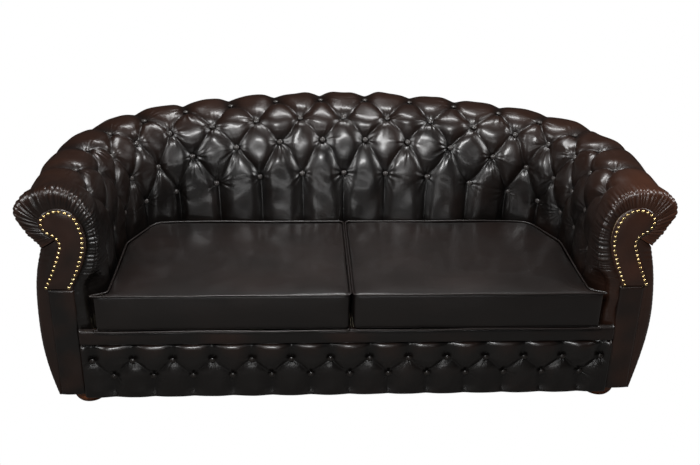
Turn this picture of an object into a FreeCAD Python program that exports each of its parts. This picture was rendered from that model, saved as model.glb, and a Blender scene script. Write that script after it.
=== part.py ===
import FreeCAD, Part
import Sketcher
import math
import os
from FreeCAD import Placement, Rotation, Vector

# A three-seat chesterfield sofa with a horseshoe back, deep diamond tufting, scrolled arms with nailed
# facings, a tufted front apron, two loose seat cushions and bun feet.
# The part stands on the plane Z = 0, its front faces -Y, and its origin is the bottom centre of its box.

document = FreeCAD.newDocument("chesterfield_sofa")

# Driving dimensions, in millimetres
SIZES = (
    ("overall_width", 2016, "across the two scrolls"),
    ("overall_depth", 940, "front of the cushions to the back of the roll"),
    ("overall_height", 825, "floor to the top of the back"),
    ("arm_height", 765, "floor to the top of the arms"),
    ("seat_height", 435, "floor to the top seam of the cushions"),
    ("cushion_thickness", 135, "bottom seam to top seam"),
    ("cushion_crown", 10, "rise of the cushion's middle above its top seam"),
    ("cushion_overhang", 44, "how far the cushions stand in front of the arm facings"),
    ("cushion_gap", 1, "between the two cushions"),
    ("cushion_flare", 65, "how far the front corners reach in front of the arms"),
    ("corner_radius", 400, "plan radius of the roll's centre line at the corners"),
    ("back_curve_radius", 2200, "plan radius of the roll's centre line along the back"),
    ("scroll_radius", 103, "roll's centre line to the outermost leather at the arm front"),
    ("roll_radius", 88, "roll's centre line to the rearmost leather of the back"),
    ("arm_inset", 137, "roll's centre line to the arm's inner face at seat level"),
    ("back_inset", 277, "roll's centre line to the back's inner face at seat level"),
    ("tuft_pitch", 168, "between buttons of one row, along the roll's centre line"),
    ("tuft_depth", 26, "how deep a button is drawn in"),
    ("cover_thickness", 12, "tufted cover under a button"),
    ("foam_thickness", 24, "foam layer behind the tufted cover"),
    ("lining_thickness", 1.5, "hessian behind the foam"),
    ("leather_thickness", 3, "outside covers with their backing"),
    ("button_radius", 9, "covered buttons"),
    ("base_height", 48, "floor to the lower edge of the leather"),
    ("rail_bottom", 60, "floor to the underside of the frame"),
    ("rail_top", 264, "floor to the top of the seat rails"),
    ("rail_thickness", 30, "seat rails and base rails"),
    ("base_rail_height", 70, "horseshoe base rails"),
    ("top_rail_size", 36, "square section of the rail inside the roll"),
    ("former_thickness", 20, "upright plywood formers"),
    ("frame_setback", 3, "plane of the facings to the front of the frame"),
    ("arm_post_width", 78, "front posts of the arms"),
    ("arm_post_depth", 36, "front posts of the arms"),
    ("arm_post_inset", 50, "roll's centre line to a post's inner side"),
    ("post_panel_margin", 2, "how far a post's panel stands past it on each side"),
    ("seat_rail_inset", 115, "roll's centre line to the inner side of a side seat rail"),
    ("rear_rail_lead", 25, "rear seat rail in front of the back's inner face"),
    ("apron_height", 195, "tufted apron under the seat"),
    ("apron_projection", 28, "front of the apron to the arm facings"),
    ("apron_pitch", 126, "between buttons of one apron row"),
    ("apron_depth", 14, "how deep an apron button is drawn in"),
    ("strip_setback", 6, "border strip behind the front of the apron"),
    ("piping_radius", 4, "cushion piping"),
    ("facing_thickness", 8, "nailed scroll facings"),
    ("board_thickness", 18, "plywood scroll boards behind the facings"),
    ("nail_pitch", 16, "between dome nails"),
    ("nail_radius", 5.5, "dome nail heads"),
    ("foot_radius", 55, "bun feet at their widest"),
    ("foot_bolt_radius", 4, "hanger bolts of the feet"),
    ("glide_thickness", 3, "plastic glides under the feet"),
    ("spring_wire_radius", 1.8, "serpentine seat springs"),
    ("spring_count", 12, "serpentine seat springs side by side"),
    ("dust_cover_thickness", 1.5, "cambric under the frame"),
    ("clearance", 0.3, "between pieces that lie against each other"),
)

sheet = document.addObject("Spreadsheet::Sheet", "Sizes")
for row, (alias, value, meaning) in enumerate(SIZES, start=1):
    sheet.set("A%d" % row, meaning)
    sheet.set("B%d" % row, str(value))
    sheet.setAlias("B%d" % row, alias)
document.recompute()


def size(alias):
    """Read one driving dimension from the sheet."""
    return float(getattr(sheet, alias))


clearance = size("clearance")
seat_height = size("seat_height")
face_y = size("cushion_overhang") - size("overall_depth") / 2
deck_height = seat_height - size("cushion_thickness")
frame_front = face_y + size("frame_setback")


# The horseshoe: the roll's centre line in plan, as a back arc, two corner arcs and two straight arms

side_x = size("overall_width") / 2 - size("scroll_radius")
back_y = size("overall_depth") / 2 - size("roll_radius")
corner_radius = size("corner_radius")
back_radius = size("back_curve_radius")
corner_x = side_x - corner_radius
corner_y = back_y - back_radius + math.sqrt((back_radius - corner_radius) ** 2 - corner_x ** 2)
back_angle = math.asin(corner_x / (back_radius - corner_radius))
back_length = back_radius * back_angle
corner_length = corner_radius * (math.pi / 2 - back_angle)
front_station = back_length + corner_length + corner_y - face_y


def centre_line(station):
    """Point and outward direction of the roll's centre line, measured along it from the back's middle."""
    side = math.copysign(1, station)
    run = abs(station)
    if run < back_length:
        angle = run / back_radius
        point = (back_radius * math.sin(angle), back_y - back_radius + back_radius * math.cos(angle))
    elif run < back_length + corner_length:
        angle = back_angle + (run - back_length) / corner_radius
        point = (corner_x + corner_radius * math.sin(angle), corner_y + corner_radius * math.cos(angle))
    else:
        angle = math.pi / 2
        point = (side_x, corner_y - (run - back_length - corner_length))
    return Vector(side * point[0], point[1], 0), Vector(side * math.sin(angle), math.cos(angle), 0)


def place(station, out, height):
    """Point at a distance outward from the centre line and at a height above the floor."""
    point, outward = centre_line(station)
    return point + outward * out + Vector(0, 0, height)


# The upholstered section, from the deck up the inner face and over the roll to the neck outside.
# Each level has its distance outward and its share of the rise from seat to top, on arm and back.
# How far a level stands in front of or behind the seat line is what makes the curve of arm and back.

LEVELS = ("deck", "seat", "low", "middle", "high", "crest", "shoulder", "outside", "neck")
ARM_RISE = {"low": 0.20, "middle": 0.515, "high": 0.82, "crest": 0.976, "shoulder": 0.96, "outside": 0.74,
            "neck": 0.41}
BACK_RISE = {"low": 0.418, "middle": 0.708, "high": 0.90, "crest": 0.996, "shoulder": 0.96, "outside": 0.795,
             "neck": 0.56}
# The lean of the back dies out towards the corners
LEAN_LENGTH = 880
LEAN_POWER = 1.6


def lean(station):
    """One at the middle of the back, where it leans most, and zero from the corners on."""
    share = min(abs(station) / LEAN_LENGTH, 1)
    return math.cos(math.pi / 2 * share ** LEAN_POWER) ** 2


def top_height(station):
    """The crest falls from the middle of the back to the arm fronts."""
    fall = math.cos(math.pi / 2 * min(abs(station) / front_station, 1)) ** 2
    return size("arm_height") + (size("overall_height") - size("arm_height")) * fall


def blend(arm, back, station):
    share = lean(station)
    return arm * (1 - share) + back * share


PAD_LIFT = 20
pad_bottom = size("rail_top") + PAD_LIFT
BORDER_OVERLAP = 1
board_front = size("frame_setback")
board_back = board_front + size("board_thickness")
border_back = board_back + BORDER_OVERLAP
arm_end = front_station - border_back - clearance
side_end = front_station - size("frame_setback") - size("arm_post_depth")
SCROLL_FLARE = 11
outward = {
    "deck": (-size("arm_inset"), -size("back_inset")),
    "seat": (-size("arm_inset"), -size("back_inset")),
    "low": (-size("arm_inset") - 2, -size("back_inset") + 39),
    "middle": (-size("arm_inset") - 1, -size("back_inset") + 87),
    "high": (-size("arm_inset") + 29, -size("back_inset") + 141),
    "crest": (-45, -30),
    "shoulder": (45, 50),
    "outside": (size("scroll_radius") - SCROLL_FLARE, size("roll_radius")),
    "neck": (40, 45),
}
# Over this last run the seat end of the arm draws out to the facing and the scroll flares
FRONT_DRAW_RUN = 80
FRONT_DRAW = {"deck": 42, "seat": 42, "low": 14, "shoulder": 6, "outside": SCROLL_FLARE}


def level_point(station, level):
    """Distance outward and height of one level of the leather's crown."""
    out = blend(*outward[level], station)
    draw = min(max(0, 1 - (arm_end - abs(station)) / FRONT_DRAW_RUN), 1)
    out += FRONT_DRAW.get(level, 0) * draw ** 2
    if level == "deck":
        return out, pad_bottom
    if level == "seat":
        return out, seat_height
    rise = blend(ARM_RISE[level], BACK_RISE[level], station)
    return out, seat_height + rise * (top_height(station) - seat_height)


def crown_point(station, position):
    """Point on the smooth curve through the levels; position 2.5 is half way from low to middle."""
    index = min(int(position), len(LEVELS) - 2)
    share = position - index
    levels = [LEVELS[min(max(index + step, 0), len(LEVELS) - 1)] for step in (-1, 0, 1, 2)]
    before, start, end, after = (level_point(station, level) for level in levels)
    point = []
    for a, b, c, d in zip(before, start, end, after):
        point.append(0.5 * (2 * b + (c - a) * share + (2 * a - 5 * b + 4 * c - d) * share ** 2
                            + (3 * b - a - 3 * c + d) * share ** 3))
    return point


def section_point(station, position, depth):
    """Point of the section at a depth under the crown, measured square to it."""
    step = 0.05
    last = len(LEVELS) - 1
    behind = crown_point(station, max(position - step, 0))
    ahead = crown_point(station, min(position + step, last))
    run = (ahead[0] - behind[0], ahead[1] - behind[1])
    length = math.hypot(*run)
    out, height = crown_point(station, position)
    return place(station, out + depth * run[1] / length, height - depth * run[0] / length)


# Diamond tufting: buttons where the half-pitch number and the level add up to an even number

half_pitch = size("tuft_pitch") / 2
FIRST_TUFTED_LEVEL = 2
LAST_TUFTED_LEVEL = 5
PLAIN_ARM_END = 100
last_tufted_column = int((front_station - PLAIN_ARM_END) / half_pitch)
PLEAT_SHARE = 0.5
FACE_SHARE = 0.16
FADE_LEVELS = 4


def tuft_share(column, position):
    """Share of the full tuft depth: one at a button, half along a pleat, nothing on a crown."""
    if abs(column) > last_tufted_column:
        return 0
    if position < FIRST_TUFTED_LEVEL or position > LAST_TUFTED_LEVEL:
        end = FIRST_TUFTED_LEVEL if position < FIRST_TUFTED_LEVEL else LAST_TUFTED_LEVEL
        fade = 1 - abs(position - end) / FADE_LEVELS
        to_pleat = abs((column + end) / 2 - round((column + end) / 2)) * 2
        return PLEAT_SHARE * fade * (1 - to_pleat) ** 2
    along = (column + position) / 2
    across = (column - position) / 2
    to_rising = abs(along - round(along)) * 2
    to_falling = abs(across - round(across)) * 2
    nearer = min(to_rising, to_falling)
    farther = max(to_rising, to_falling)
    if nearer < 0.01:
        return 1 - (1 - PLEAT_SHARE) * farther
    return FACE_SHARE * (1 - nearer) * 2


def edge(start, middle, end):
    """Arc through three points, or a line where they are in line."""
    chord = end - start
    rise = (middle - start).cross(chord).Length / chord.Length
    if rise < 0.02:
        return Part.LineSegment(start, end).toShape()
    return Part.Arc(start, middle, end).toShape()


def tufted_section(station, column):
    """Closed section of a tufted cover: tufted face, end at the neck, plain back and end at the deck."""
    last = len(LEVELS) - 1
    full = size("tuft_depth")
    back = full + size("cover_thickness")
    edges = []
    positions = [step / 2 for step in range(2 * last + 1)]
    for start, end in zip(positions, positions[1:]):
        depths = [full * tuft_share(column, position) for position in (start, end)]
        middle_depth = sum(depths) / 2 - abs(depths[0] - depths[1]) / 8
        edges.append(edge(section_point(station, start, depths[0]),
                          section_point(station, (start + end) / 2, middle_depth),
                          section_point(station, end, depths[1])))
    corners = [section_point(station, last, full * tuft_share(column, last))]
    corners += [section_point(station, level, back) for level in range(last, -1, -1)]
    corners.append(section_point(station, 0, full * tuft_share(column, 0)))
    for start, end in zip(corners, corners[1:]):
        edges.append(Part.LineSegment(start, end).toShape())
    return Part.Wire(edges)


def layer_section(station, front, back, last):
    """Closed section of a plain layer between two depths, from the deck to a level."""
    corners = [section_point(station, level, front) for level in range(last + 1)]
    corners += [section_point(station, level, back) for level in range(last, -1, -1)]
    return Part.makePolygon(corners + corners[:1])


def ruled_solid(sections):
    """Closed solid through the sections in turn."""
    solid = Part.makeLoft(sections, True, True)
    if solid.Volume < 0:
        solid.reverse()
    return solid


def add_piece(label, shape):
    """One sub-part whose shape is made here, in place."""
    piece = document.addObject("Part::Feature", label)
    piece.Shape = shape
    piece.Placement = Placement()
    piece.Label = label
    return piece


# The horseshoe is upholstered in three lengths that meet in the corners, midway between two buttons

seam_column = int((back_length + corner_length / 2) / half_pitch) + 0.5


def columns(first, last):
    return [first + step / 2 for step in range(int(2 * (last - first)) + 1)]


def stations(side):
    """Stations and columns of one length of upholstery: the back (0) or an arm (-1 or 1)."""
    if side == 0:
        return [(column * half_pitch, column) for column in columns(-seam_column, seam_column)]
    arm = [(column * half_pitch, column) for column in columns(seam_column, last_tufted_column + 0.5)]
    arm += [(side_end - clearance, last_tufted_column + 0.75), (arm_end, last_tufted_column + 1)]
    return [(side * station, side * column) for station, column in arm]


LENGTHS = (("left_arm", -1), ("back", 0), ("right_arm", 1))

cover_back = size("tuft_depth") + size("cover_thickness")
foam_front = cover_back + clearance
foam_back = foam_front + size("foam_thickness")
lining_front = foam_back + clearance
lining_back = lining_front + size("lining_thickness")
former_front = lining_back + clearance
NECK_LEVEL = len(LEVELS) - 1
HIGH_LEVEL = LEVELS.index("high")

for name, side in LENGTHS:
    run = stations(side)
    add_piece(name + "_tufted_cover", ruled_solid([tufted_section(*pair) for pair in run]))
    behind_post = [station for station, column in run if abs(station) < side_end]
    foam = [layer_section(station, foam_front, foam_back, NECK_LEVEL) for station in behind_post]
    add_piece(name + "_foam", ruled_solid(foam))
    lining = [layer_section(station, lining_front, lining_back, HIGH_LEVEL) for station in behind_post]
    add_piece(name + "_lining", ruled_solid(lining))


# Covered buttons, narrow underneath so that they sit down in the tufts

BUTTON_LIFT = 2.4
BEND_LIFT = 1.2
BEND_COLUMN = 8
BUTTON_NECK = 1.5
BUTTON_RIM_RISE = 9.5
BUTTON_HEIGHT = 13.2


def dome_arc(rim, top):
    """Arc over a dome whose centre lies on the Z axis, from its rim to its top."""
    rise = top.z - rim.z
    radius = (rim.x ** 2 + rise ** 2) / (2 * rise)
    half = math.asin(rim.x / radius) / 2
    middle = Vector(radius * math.sin(half), 0, top.z - radius + radius * math.cos(half))
    return Part.Arc(rim, middle, top).toShape()


def button_shape():
    """Covered button standing on the origin along Z."""
    radius = size("button_radius")
    rim = Vector(radius, 0, BUTTON_RIM_RISE)
    top = Vector(0, 0, BUTTON_HEIGHT)
    corners = [top, Vector(0, 0, 0), Vector(BUTTON_NECK, 0, 0), rim]
    edges = [Part.LineSegment(a, b).toShape() for a, b in zip(corners, corners[1:])]
    return Part.Face(Part.Wire(edges + [dome_arc(rim, top)])).revolve(Vector(), Vector(0, 0, 1), 360)


def set_on(shape, point, direction):
    """Copy of a shape that stands along Z, moved to a point and turned to a direction."""
    copy = shape.copy()
    copy.Placement = Placement(point, Rotation(Vector(0, 0, 1), direction))
    return copy


def button_direction(station, level):
    """Way out of the leather's crown at a button, square to it along and across."""
    reach = half_pitch / 2
    along = section_point(station + reach, level, 0) - section_point(station - reach, level, 0)
    across = section_point(station, level + 0.25, 0) - section_point(station, level - 0.25, 0)
    direction = along.cross(across).normalize()
    if direction.dot(section_point(station, level, 0) - section_point(station, level, 1)) < 0:
        direction = direction * -1
    return direction


def tuft_buttons(side):
    """Buttons of one length of upholstery, each just clear of the bottom of its tuft.

    The lowest button where the bend begins stands a little further out, off the steep pleat beside it."""
    button = button_shape()
    buttons = []
    for station, column in stations(side):
        if abs(column) > last_tufted_column or column != int(column):
            continue
        for level in range(FIRST_TUFTED_LEVEL, LAST_TUFTED_LEVEL + 1):
            if (column + level) % 2:
                continue
            foot = section_point(station, level, size("tuft_depth"))
            direction = button_direction(station, level)
            bent = abs(column) == BEND_COLUMN and level == FIRST_TUFTED_LEVEL
            lift = BUTTON_LIFT + (BEND_LIFT if bent else 0)
            buttons.append(set_on(button, foot + direction * lift, direction))
    return Part.Compound(buttons)


for name, side in LENGTHS:
    add_piece(name + "_buttons", tuft_buttons(side))


# Outside covers, bowed like a bottle from the neck under the roll down to the floor edge

OUTER_TOP = -3
OUTER_TOP_DROP = 2
OUTER_BULGE = 74
OUTER_FOOT = 40
BULGE_SHARE = 0.58


def outside_points(station, inset):
    """Top, fullest point and lower edge of the outside cover, inset towards the frame."""
    out, neck = level_point(station, "neck")
    base = size("base_height")
    bulge = base + BULGE_SHARE * (neck - base)
    top = place(station, out + OUTER_TOP - inset, neck - OUTER_TOP_DROP)
    return top, place(station, OUTER_BULGE - inset, bulge), place(station, OUTER_FOOT - inset, base)


def outside_section(station):
    outer = outside_points(station, 0)
    inner = outside_points(station, size("leather_thickness"))
    edges = [Part.Arc(*outer).toShape(), Part.LineSegment(outer[2], inner[2]).toShape(),
             Part.Arc(*reversed(inner)).toShape(), Part.LineSegment(inner[0], outer[0]).toShape()]
    return Part.Wire(edges)


for name, side in LENGTHS:
    sections = [outside_section(station) for station, column in stations(side)]
    add_piece(name + "_outer_cover", ruled_solid(sections))


# Nailed scroll facing, its board, the gathered border round it and the post panel below it.
# The nail line is given outward from the roll's centre line and as a share of the arm's rise.

ARM_RISE_LENGTH = size("arm_height") - seat_height
NAIL_LINE = (
    ((-37, 0.02), (-64, 0.19), (-87, 0.385)),
    ((-87, 0.385), (-91, 0.545), (-76, 0.712)),
    ((-76, 0.712), (-25, 0.79), (23, 0.695)),
    ((23, 0.695), (18, 0.62), (-7, 0.555)),
    ((-7, 0.555), (-25, 0.465), (-19, 0.379)),
    ((-19, 0.379), (5, 0.19), (32, 0.02)),
)
NAIL_MARGIN = 9
NAIL_RISE = 4
BORDER_ROUNDING = 6
BORDER_FIRST_ROUNDING = 1
post_in = -size("arm_post_inset") - size("post_panel_margin")
post_out = size("arm_post_width") - size("arm_post_inset") + size("post_panel_margin")


def front_point(side, out, height, behind):
    """Point of an arm front; behind is measured from the plane of the facings into the sofa."""
    return Vector(side * (side_x + out), face_y + behind, height)


def nail_wire(side, behind):
    edges = []
    for arc in NAIL_LINE:
        points = [front_point(side, out, seat_height + share * ARM_RISE_LENGTH, behind) for out, share in arc]
        edges.append(Part.Arc(*points).toShape())
    return Part.Wire(edges)


def facing_wire(side, behind, margin):
    """Closed outline of a facing, a margin outside the nail line and straight across the bottom."""
    nails = nail_wire(side, behind)
    bottom = Part.LineSegment(nails.OrderedVertexes[-1].Point, nails.OrderedVertexes[0].Point).toShape()
    return Part.Wire(nails.Edges + [bottom]).makeOffset2D(margin)


def slab(wire, thickness):
    """Board of an outline in a plane of constant Y, growing towards the front."""
    return Part.Face(wire).extrude(Vector(0, -thickness, 0))


def silhouette(side, behind, inset):
    """Outline of an arm seen from the front, inset from the leather's outer skin."""
    skin = [section_point(side * arm_end, step / 2, inset) for step in range(2 * NECK_LEVEL + 1)]
    bulge, foot = outside_points(side * arm_end, inset)[1:]
    skin = [Vector(point.x, face_y + behind, point.z) for point in skin + [bulge, foot]]
    edges = [Part.LineSegment(a, b).toShape() for a, b in zip(skin[:-2], skin[1:-2])]
    edges.append(Part.Arc(*skin[-3:]).toShape())
    corners = [skin[-1], front_point(side, post_in, skin[-1].z, behind),
               front_point(side, post_in, skin[0].z, behind), skin[0]]
    edges += [Part.LineSegment(a, b).toShape() for a, b in zip(corners, corners[1:])]
    return Part.Wire(edges)


def facing_solid(side, back, thickness, margin):
    """Slab of the facing's outline above seat level, whose front is nearer by its thickness."""
    blank = slab(facing_wire(side, back, margin), thickness)
    box = blank.BoundBox
    above = Part.makeBox(box.XLength + 2 * CUT_MARGIN, box.YLength + 2 * CUT_MARGIN, box.ZLength,
                         Vector(box.XMin - CUT_MARGIN, box.YMin - CUT_MARGIN, seat_height))
    return blank.common(above).Solids[0]


def nail_heads(side, behind):
    """Dome nails at an even pitch along the nail line."""
    line = nail_wire(side, behind)
    count = int(line.Length / size("nail_pitch")) + 1
    radius = size("nail_radius")
    corners = [Vector(radius, 0, 0), Vector(0, 0, 0), Vector(0, 0, NAIL_RISE)]
    edges = [Part.LineSegment(a, b).toShape() for a, b in zip(corners, corners[1:])]
    edges.append(dome_arc(corners[0], corners[2]))
    dome = Part.Face(Part.Wire(edges)).revolve(Vector(), Vector(0, 0, 1), 360)
    return Part.Compound([set_on(dome, point, Vector(0, -1, 0)) for point in line.discretize(Number=count)])


CUT_MARGIN = 2

for name, side in (("left", -1), ("right", 1)):
    board = facing_solid(side, board_back, size("board_thickness"), NAIL_MARGIN)
    add_piece(name + "_scroll_board", board)
    facing = facing_solid(side, board_front, size("facing_thickness"), NAIL_MARGIN)
    add_piece(name + "_scroll_facing", facing)
    add_piece(name + "_dome_nails", nail_heads(side, board_front - size("facing_thickness")))
    outlines = ((border_back, 0), (board_front + BORDER_ROUNDING, BORDER_FIRST_ROUNDING),
                (board_front, BORDER_ROUNDING))
    border = ruled_solid([silhouette(side, behind, inset) for behind, inset in outlines])
    hollow_back = border_back + CUT_MARGIN
    hollow = facing_solid(side, hollow_back, hollow_back + CUT_MARGIN, NAIL_MARGIN + clearance)
    post_width = post_out - post_in + 2 * clearance
    post_edge = side_x + post_in - clearance if side > 0 else -side_x - post_out - clearance
    well = Part.makeBox(post_width, border_back + 2 * CUT_MARGIN, seat_height + clearance,
                        Vector(post_edge, face_y - CUT_MARGIN, 0))
    add_piece(name + "_scroll_border", border.cut([hollow, well]))


# Straight frame pieces are boxes bound to the sheet; FACE is the plane of the arm facings

FACE = "(Sizes.cushion_overhang - Sizes.overall_depth / 2)"
SIDE = "(Sizes.overall_width / 2 - Sizes.scroll_radius)"


def add_box(label, lengths, corner):
    """Box whose three lengths and lowest corner are expressions of the sheet."""
    box = document.addObject("Part::Box", label)
    for name, value in zip(("Length", "Width", "Height"), lengths):
        box.setExpression(name, value)
    for name, value in zip("xyz", corner):
        box.setExpression("Placement.Base." + name, value)
    box.Label = label
    return box


def mirrored(out, length, side):
    """Expression of the lower X of a box that starts a distance out from the centre line of one arm."""
    if side > 0:
        return "%s + %s" % (SIDE, out)
    return "-%s - (%s) - (%s)" % (SIDE, out, length)


RAIL = "Sizes.rail_thickness"
RAIL_HEIGHT = "Sizes.rail_top - Sizes.rail_bottom"
FRAME_FRONT = "%s + Sizes.frame_setback" % FACE
FRONT_RAIL_BACK = "%s + %s" % (FRAME_FRONT, RAIL)
REAR_RAIL_Y = "(Sizes.overall_depth / 2 - Sizes.roll_radius - Sizes.back_inset - Sizes.rear_rail_lead)"
FRONT_RAIL_END = "(%s - Sizes.arm_post_inset)" % SIDE
REAR_RAIL_END = "(%s - Sizes.seat_rail_inset + %s)" % (SIDE, RAIL)
POST_WIDTH = "Sizes.arm_post_width"
PANEL_DEPTH = "Sizes.facing_thickness"
PANEL_WIDTH = "Sizes.arm_post_width + 2 * Sizes.post_panel_margin"

add_box("front_seat_rail", ("2 * " + FRONT_RAIL_END, RAIL, RAIL_HEIGHT),
        ("-" + FRONT_RAIL_END, FRAME_FRONT, "Sizes.rail_bottom"))
add_box("rear_seat_rail", ("2 * " + REAR_RAIL_END, RAIL, RAIL_HEIGHT),
        ("-" + REAR_RAIL_END, REAR_RAIL_Y, "Sizes.rail_bottom"))
for name, side in (("left", -1), ("right", 1)):
    add_box(name + "_seat_rail", (RAIL, "%s - (%s)" % (REAR_RAIL_Y, FRONT_RAIL_BACK), RAIL_HEIGHT),
            (mirrored("(-Sizes.seat_rail_inset)", RAIL, side), FRONT_RAIL_BACK, "Sizes.rail_bottom"))
    add_box(name + "_arm_post", (POST_WIDTH, "Sizes.arm_post_depth", "Sizes.seat_height - Sizes.rail_bottom"),
            (mirrored("(-Sizes.arm_post_inset)", POST_WIDTH, side), FRAME_FRONT, "Sizes.rail_bottom"))
    add_box(name + "_post_panel",
            (PANEL_WIDTH, PANEL_DEPTH, "Sizes.seat_height - Sizes.base_height - Sizes.clearance"),
            (mirrored("(-Sizes.arm_post_inset - Sizes.post_panel_margin)", PANEL_WIDTH, side),
             "%s - %s" % (FRAME_FRONT, PANEL_DEPTH), "Sizes.base_height"))


STRETCHER_X = 320
STRETCHER_HEIGHT = 90
rear_rail_y = back_y - size("back_inset") - size("rear_rail_lead")
rear_rail_back = rear_rail_y + size("rail_thickness")
front_rail_back = frame_front + size("rail_thickness")
add_piece("seat_stretchers", Part.Compound([
    Part.makeBox(size("rail_thickness"), rear_rail_y - front_rail_back, STRETCHER_HEIGHT,
                 Vector(x - size("rail_thickness") / 2, front_rail_back, size("rail_bottom")))
    for x in (-STRETCHER_X, STRETCHER_X)]))


# Curved rails and boards that follow the horseshoe

def offset_arcs(first, last, out, height):
    """Edges of a line parallel to the centre line between two stations on one side of the middle."""
    breaks = [back_length, back_length + corner_length]
    marks = [sign * mark for mark in breaks for sign in (-1, 1) if first < sign * mark < last]
    marks = sorted([first, last] + marks)
    edges = []
    for start, end in zip(marks, marks[1:]):
        points = [place(station, out, height) for station in (start, (start + end) / 2, end)]
        edges.append(edge(*points))
    return edges


def curved_board(first, last, inner, outer, bottom, height):
    """Board between two lines parallel to the centre line."""
    near = offset_arcs(first, last, inner, bottom)
    far = offset_arcs(first, last, outer, bottom)
    ends = [Part.LineSegment(place(station, inner, bottom), place(station, outer, bottom)).toShape()
            for station in (first, last)]
    outline = Part.Wire(Part.sortEdges(near + far + ends)[0])
    return Part.Face(outline).extrude(Vector(0, 0, height))


BASE_RAIL_OUT = -10
base_rail_outer = BASE_RAIL_OUT + size("rail_thickness")
base_rail = (BASE_RAIL_OUT, base_rail_outer, size("rail_bottom"), size("base_rail_height"))
side_seam = back_length + corner_length / 2
for name, first, last in (("left", -side_end, -side_seam), ("back", -side_seam, side_seam),
                          ("right", side_seam, side_end)):
    add_piece(name + "_base_rail", curved_board(first, last, *base_rail))


TOP_RAIL_DROP = 95
TOP_RAIL_OUT = -13


def top_rail_height(station):
    """Height of the middle of the rail inside the roll."""
    return top_height(station) - TOP_RAIL_DROP


def top_rail_section(station):
    half = size("top_rail_size") / 2
    height = top_rail_height(station)
    corners = [place(station, TOP_RAIL_OUT + out, height + rise) for out, rise in
               ((-half, -half), (half, -half), (half, half), (-half, half))]
    return Part.makePolygon(corners + corners[:1])


board_station = front_station - board_back
for name, side in LENGTHS:
    run = [station for station, column in stations(side)]
    if side:
        run[-1] = side * board_station
    add_piece(name + "_top_rail", ruled_solid([top_rail_section(station) for station in run]))


# Plywood formers carry the top rail on the base rails and back up the lining and the outside covers.
# The last one on each arm stands clear behind the block of the front foot.

FRONT_FOOT_SETBACK = 67
BLOCK_REACH = 55
FORMER_GAP = 0.6
FORMER_CUT_IN = 60
FORMER_REACH = 0.4
RAIL_SEAT_RISE = 6
NECK_STEP = 6
NECK_CLEAR = 12
FOOT_STEP = 5
arm_former_foot = size("rail_thickness") - size("seat_rail_inset")
BACK_FORMERS = (-9.5, -6, -2, 2, 6, 9.5)
ARM_FORMER_STEP = 1.5
block_station = front_station - FRONT_FOOT_SETBACK - BLOCK_REACH
last_former = int(2 * (block_station - size("former_thickness")) / half_pitch) / 2


def lining_seat(station, level):
    """Point of a former's front edge, which clears the lining at both faces of the board."""
    half = size("former_thickness") / 2
    near, far = (level_point(station + step, LEVELS[level])[0] for step in (-half, half))
    outward_way = centre_line(station)[1]
    return section_point(station, level, former_front) + outward_way * (abs(near - far) / 2 + 2 * clearance)


def former(station):
    """Upright board square to the centre line, shaped to the upholstery in front and the cover behind."""
    half_rail = size("top_rail_size") / 2
    rail_side = TOP_RAIL_OUT - half_rail - FORMER_GAP
    rail_height = top_rail_height(station)
    neck_out, neck_height = level_point(station, "neck")
    bulge = outside_points(station, size("leather_thickness") + FORMER_GAP)[1]
    base_top = size("rail_bottom") + size("base_rail_height")
    foot = arm_former_foot if abs(station) > side_seam else BASE_RAIL_OUT - FORMER_CUT_IN
    step = rail_side - NECK_STEP
    front = [lining_seat(station, level) for level in range(HIGH_LEVEL + 1)]
    front[-1] = front[-2] + (front[-1] - front[-2]) * FORMER_REACH
    front += [place(station, out, height) for out, height in (
        (rail_side, rail_height + RAIL_SEAT_RISE), (rail_side, rail_height - half_rail),
        (step, neck_height + NECK_STEP), (step, neck_height - 2 * NECK_CLEAR),
        (neck_out - NECK_CLEAR, neck_height - 2 * NECK_CLEAR))]
    rear_foot = place(station, OUTER_FOOT + FOOT_STEP, base_top)
    inner = BASE_RAIL_OUT - clearance
    below = [rear_foot, place(station, inner, base_top), place(station, inner, size("rail_bottom")),
             place(station, foot, size("rail_bottom")), place(station, foot, pad_bottom), front[0]]
    edges = [Part.LineSegment(a, b).toShape() for a, b in zip(front, front[1:])]
    edges.append(Part.Arc(front[-1], bulge, rear_foot).toShape())
    edges += [Part.LineSegment(a, b).toShape() for a, b in zip(below, below[1:])]
    along = centre_line(station)[1].cross(Vector(0, 0, 1)) * size("former_thickness")
    board = Part.Face(Part.Wire(edges)).extrude(along)
    board.translate(along * -0.5)
    return board


formers = [former(column * half_pitch) for column in BACK_FORMERS]
formers += [former(side * column * half_pitch) for side in (-1, 1)
            for column in (last_former - ARM_FORMER_STEP, last_former)]
add_piece("upright_formers", Part.Compound(formers))


# Tufted apron, the border strip above it and their places in front of the seat rail

APRON_LEVELS = (0, 81, 139, 195)
APRON_EDGE_DROP = (8, 0, 0, 6)
APRON_CROWN = 1
APRON_BUTTON_LIFT = 1.1
apron_half_width = side_x + post_in - clearance
apron_half_pitch = size("apron_pitch") / 2
apron_back = size("frame_setback") - clearance


def apron_share(column, level):
    """Buttons sit at level 1 on even columns and level 2 on odd ones, with pleats to the nearer edge."""
    crown_edge = level in (0, len(APRON_LEVELS) - 1)
    pleated = (column + (1 if level > 1 else 0)) % 2 == 0
    if column != int(column):
        return 0.25 if crown_edge else 0.2
    if crown_edge:
        return 0.55 if pleated else 0.2
    return 1 if pleated else 0


def apron_point(x, share, height, projection):
    return Vector(x, face_y - projection + share * size("apron_depth"), height)


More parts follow.
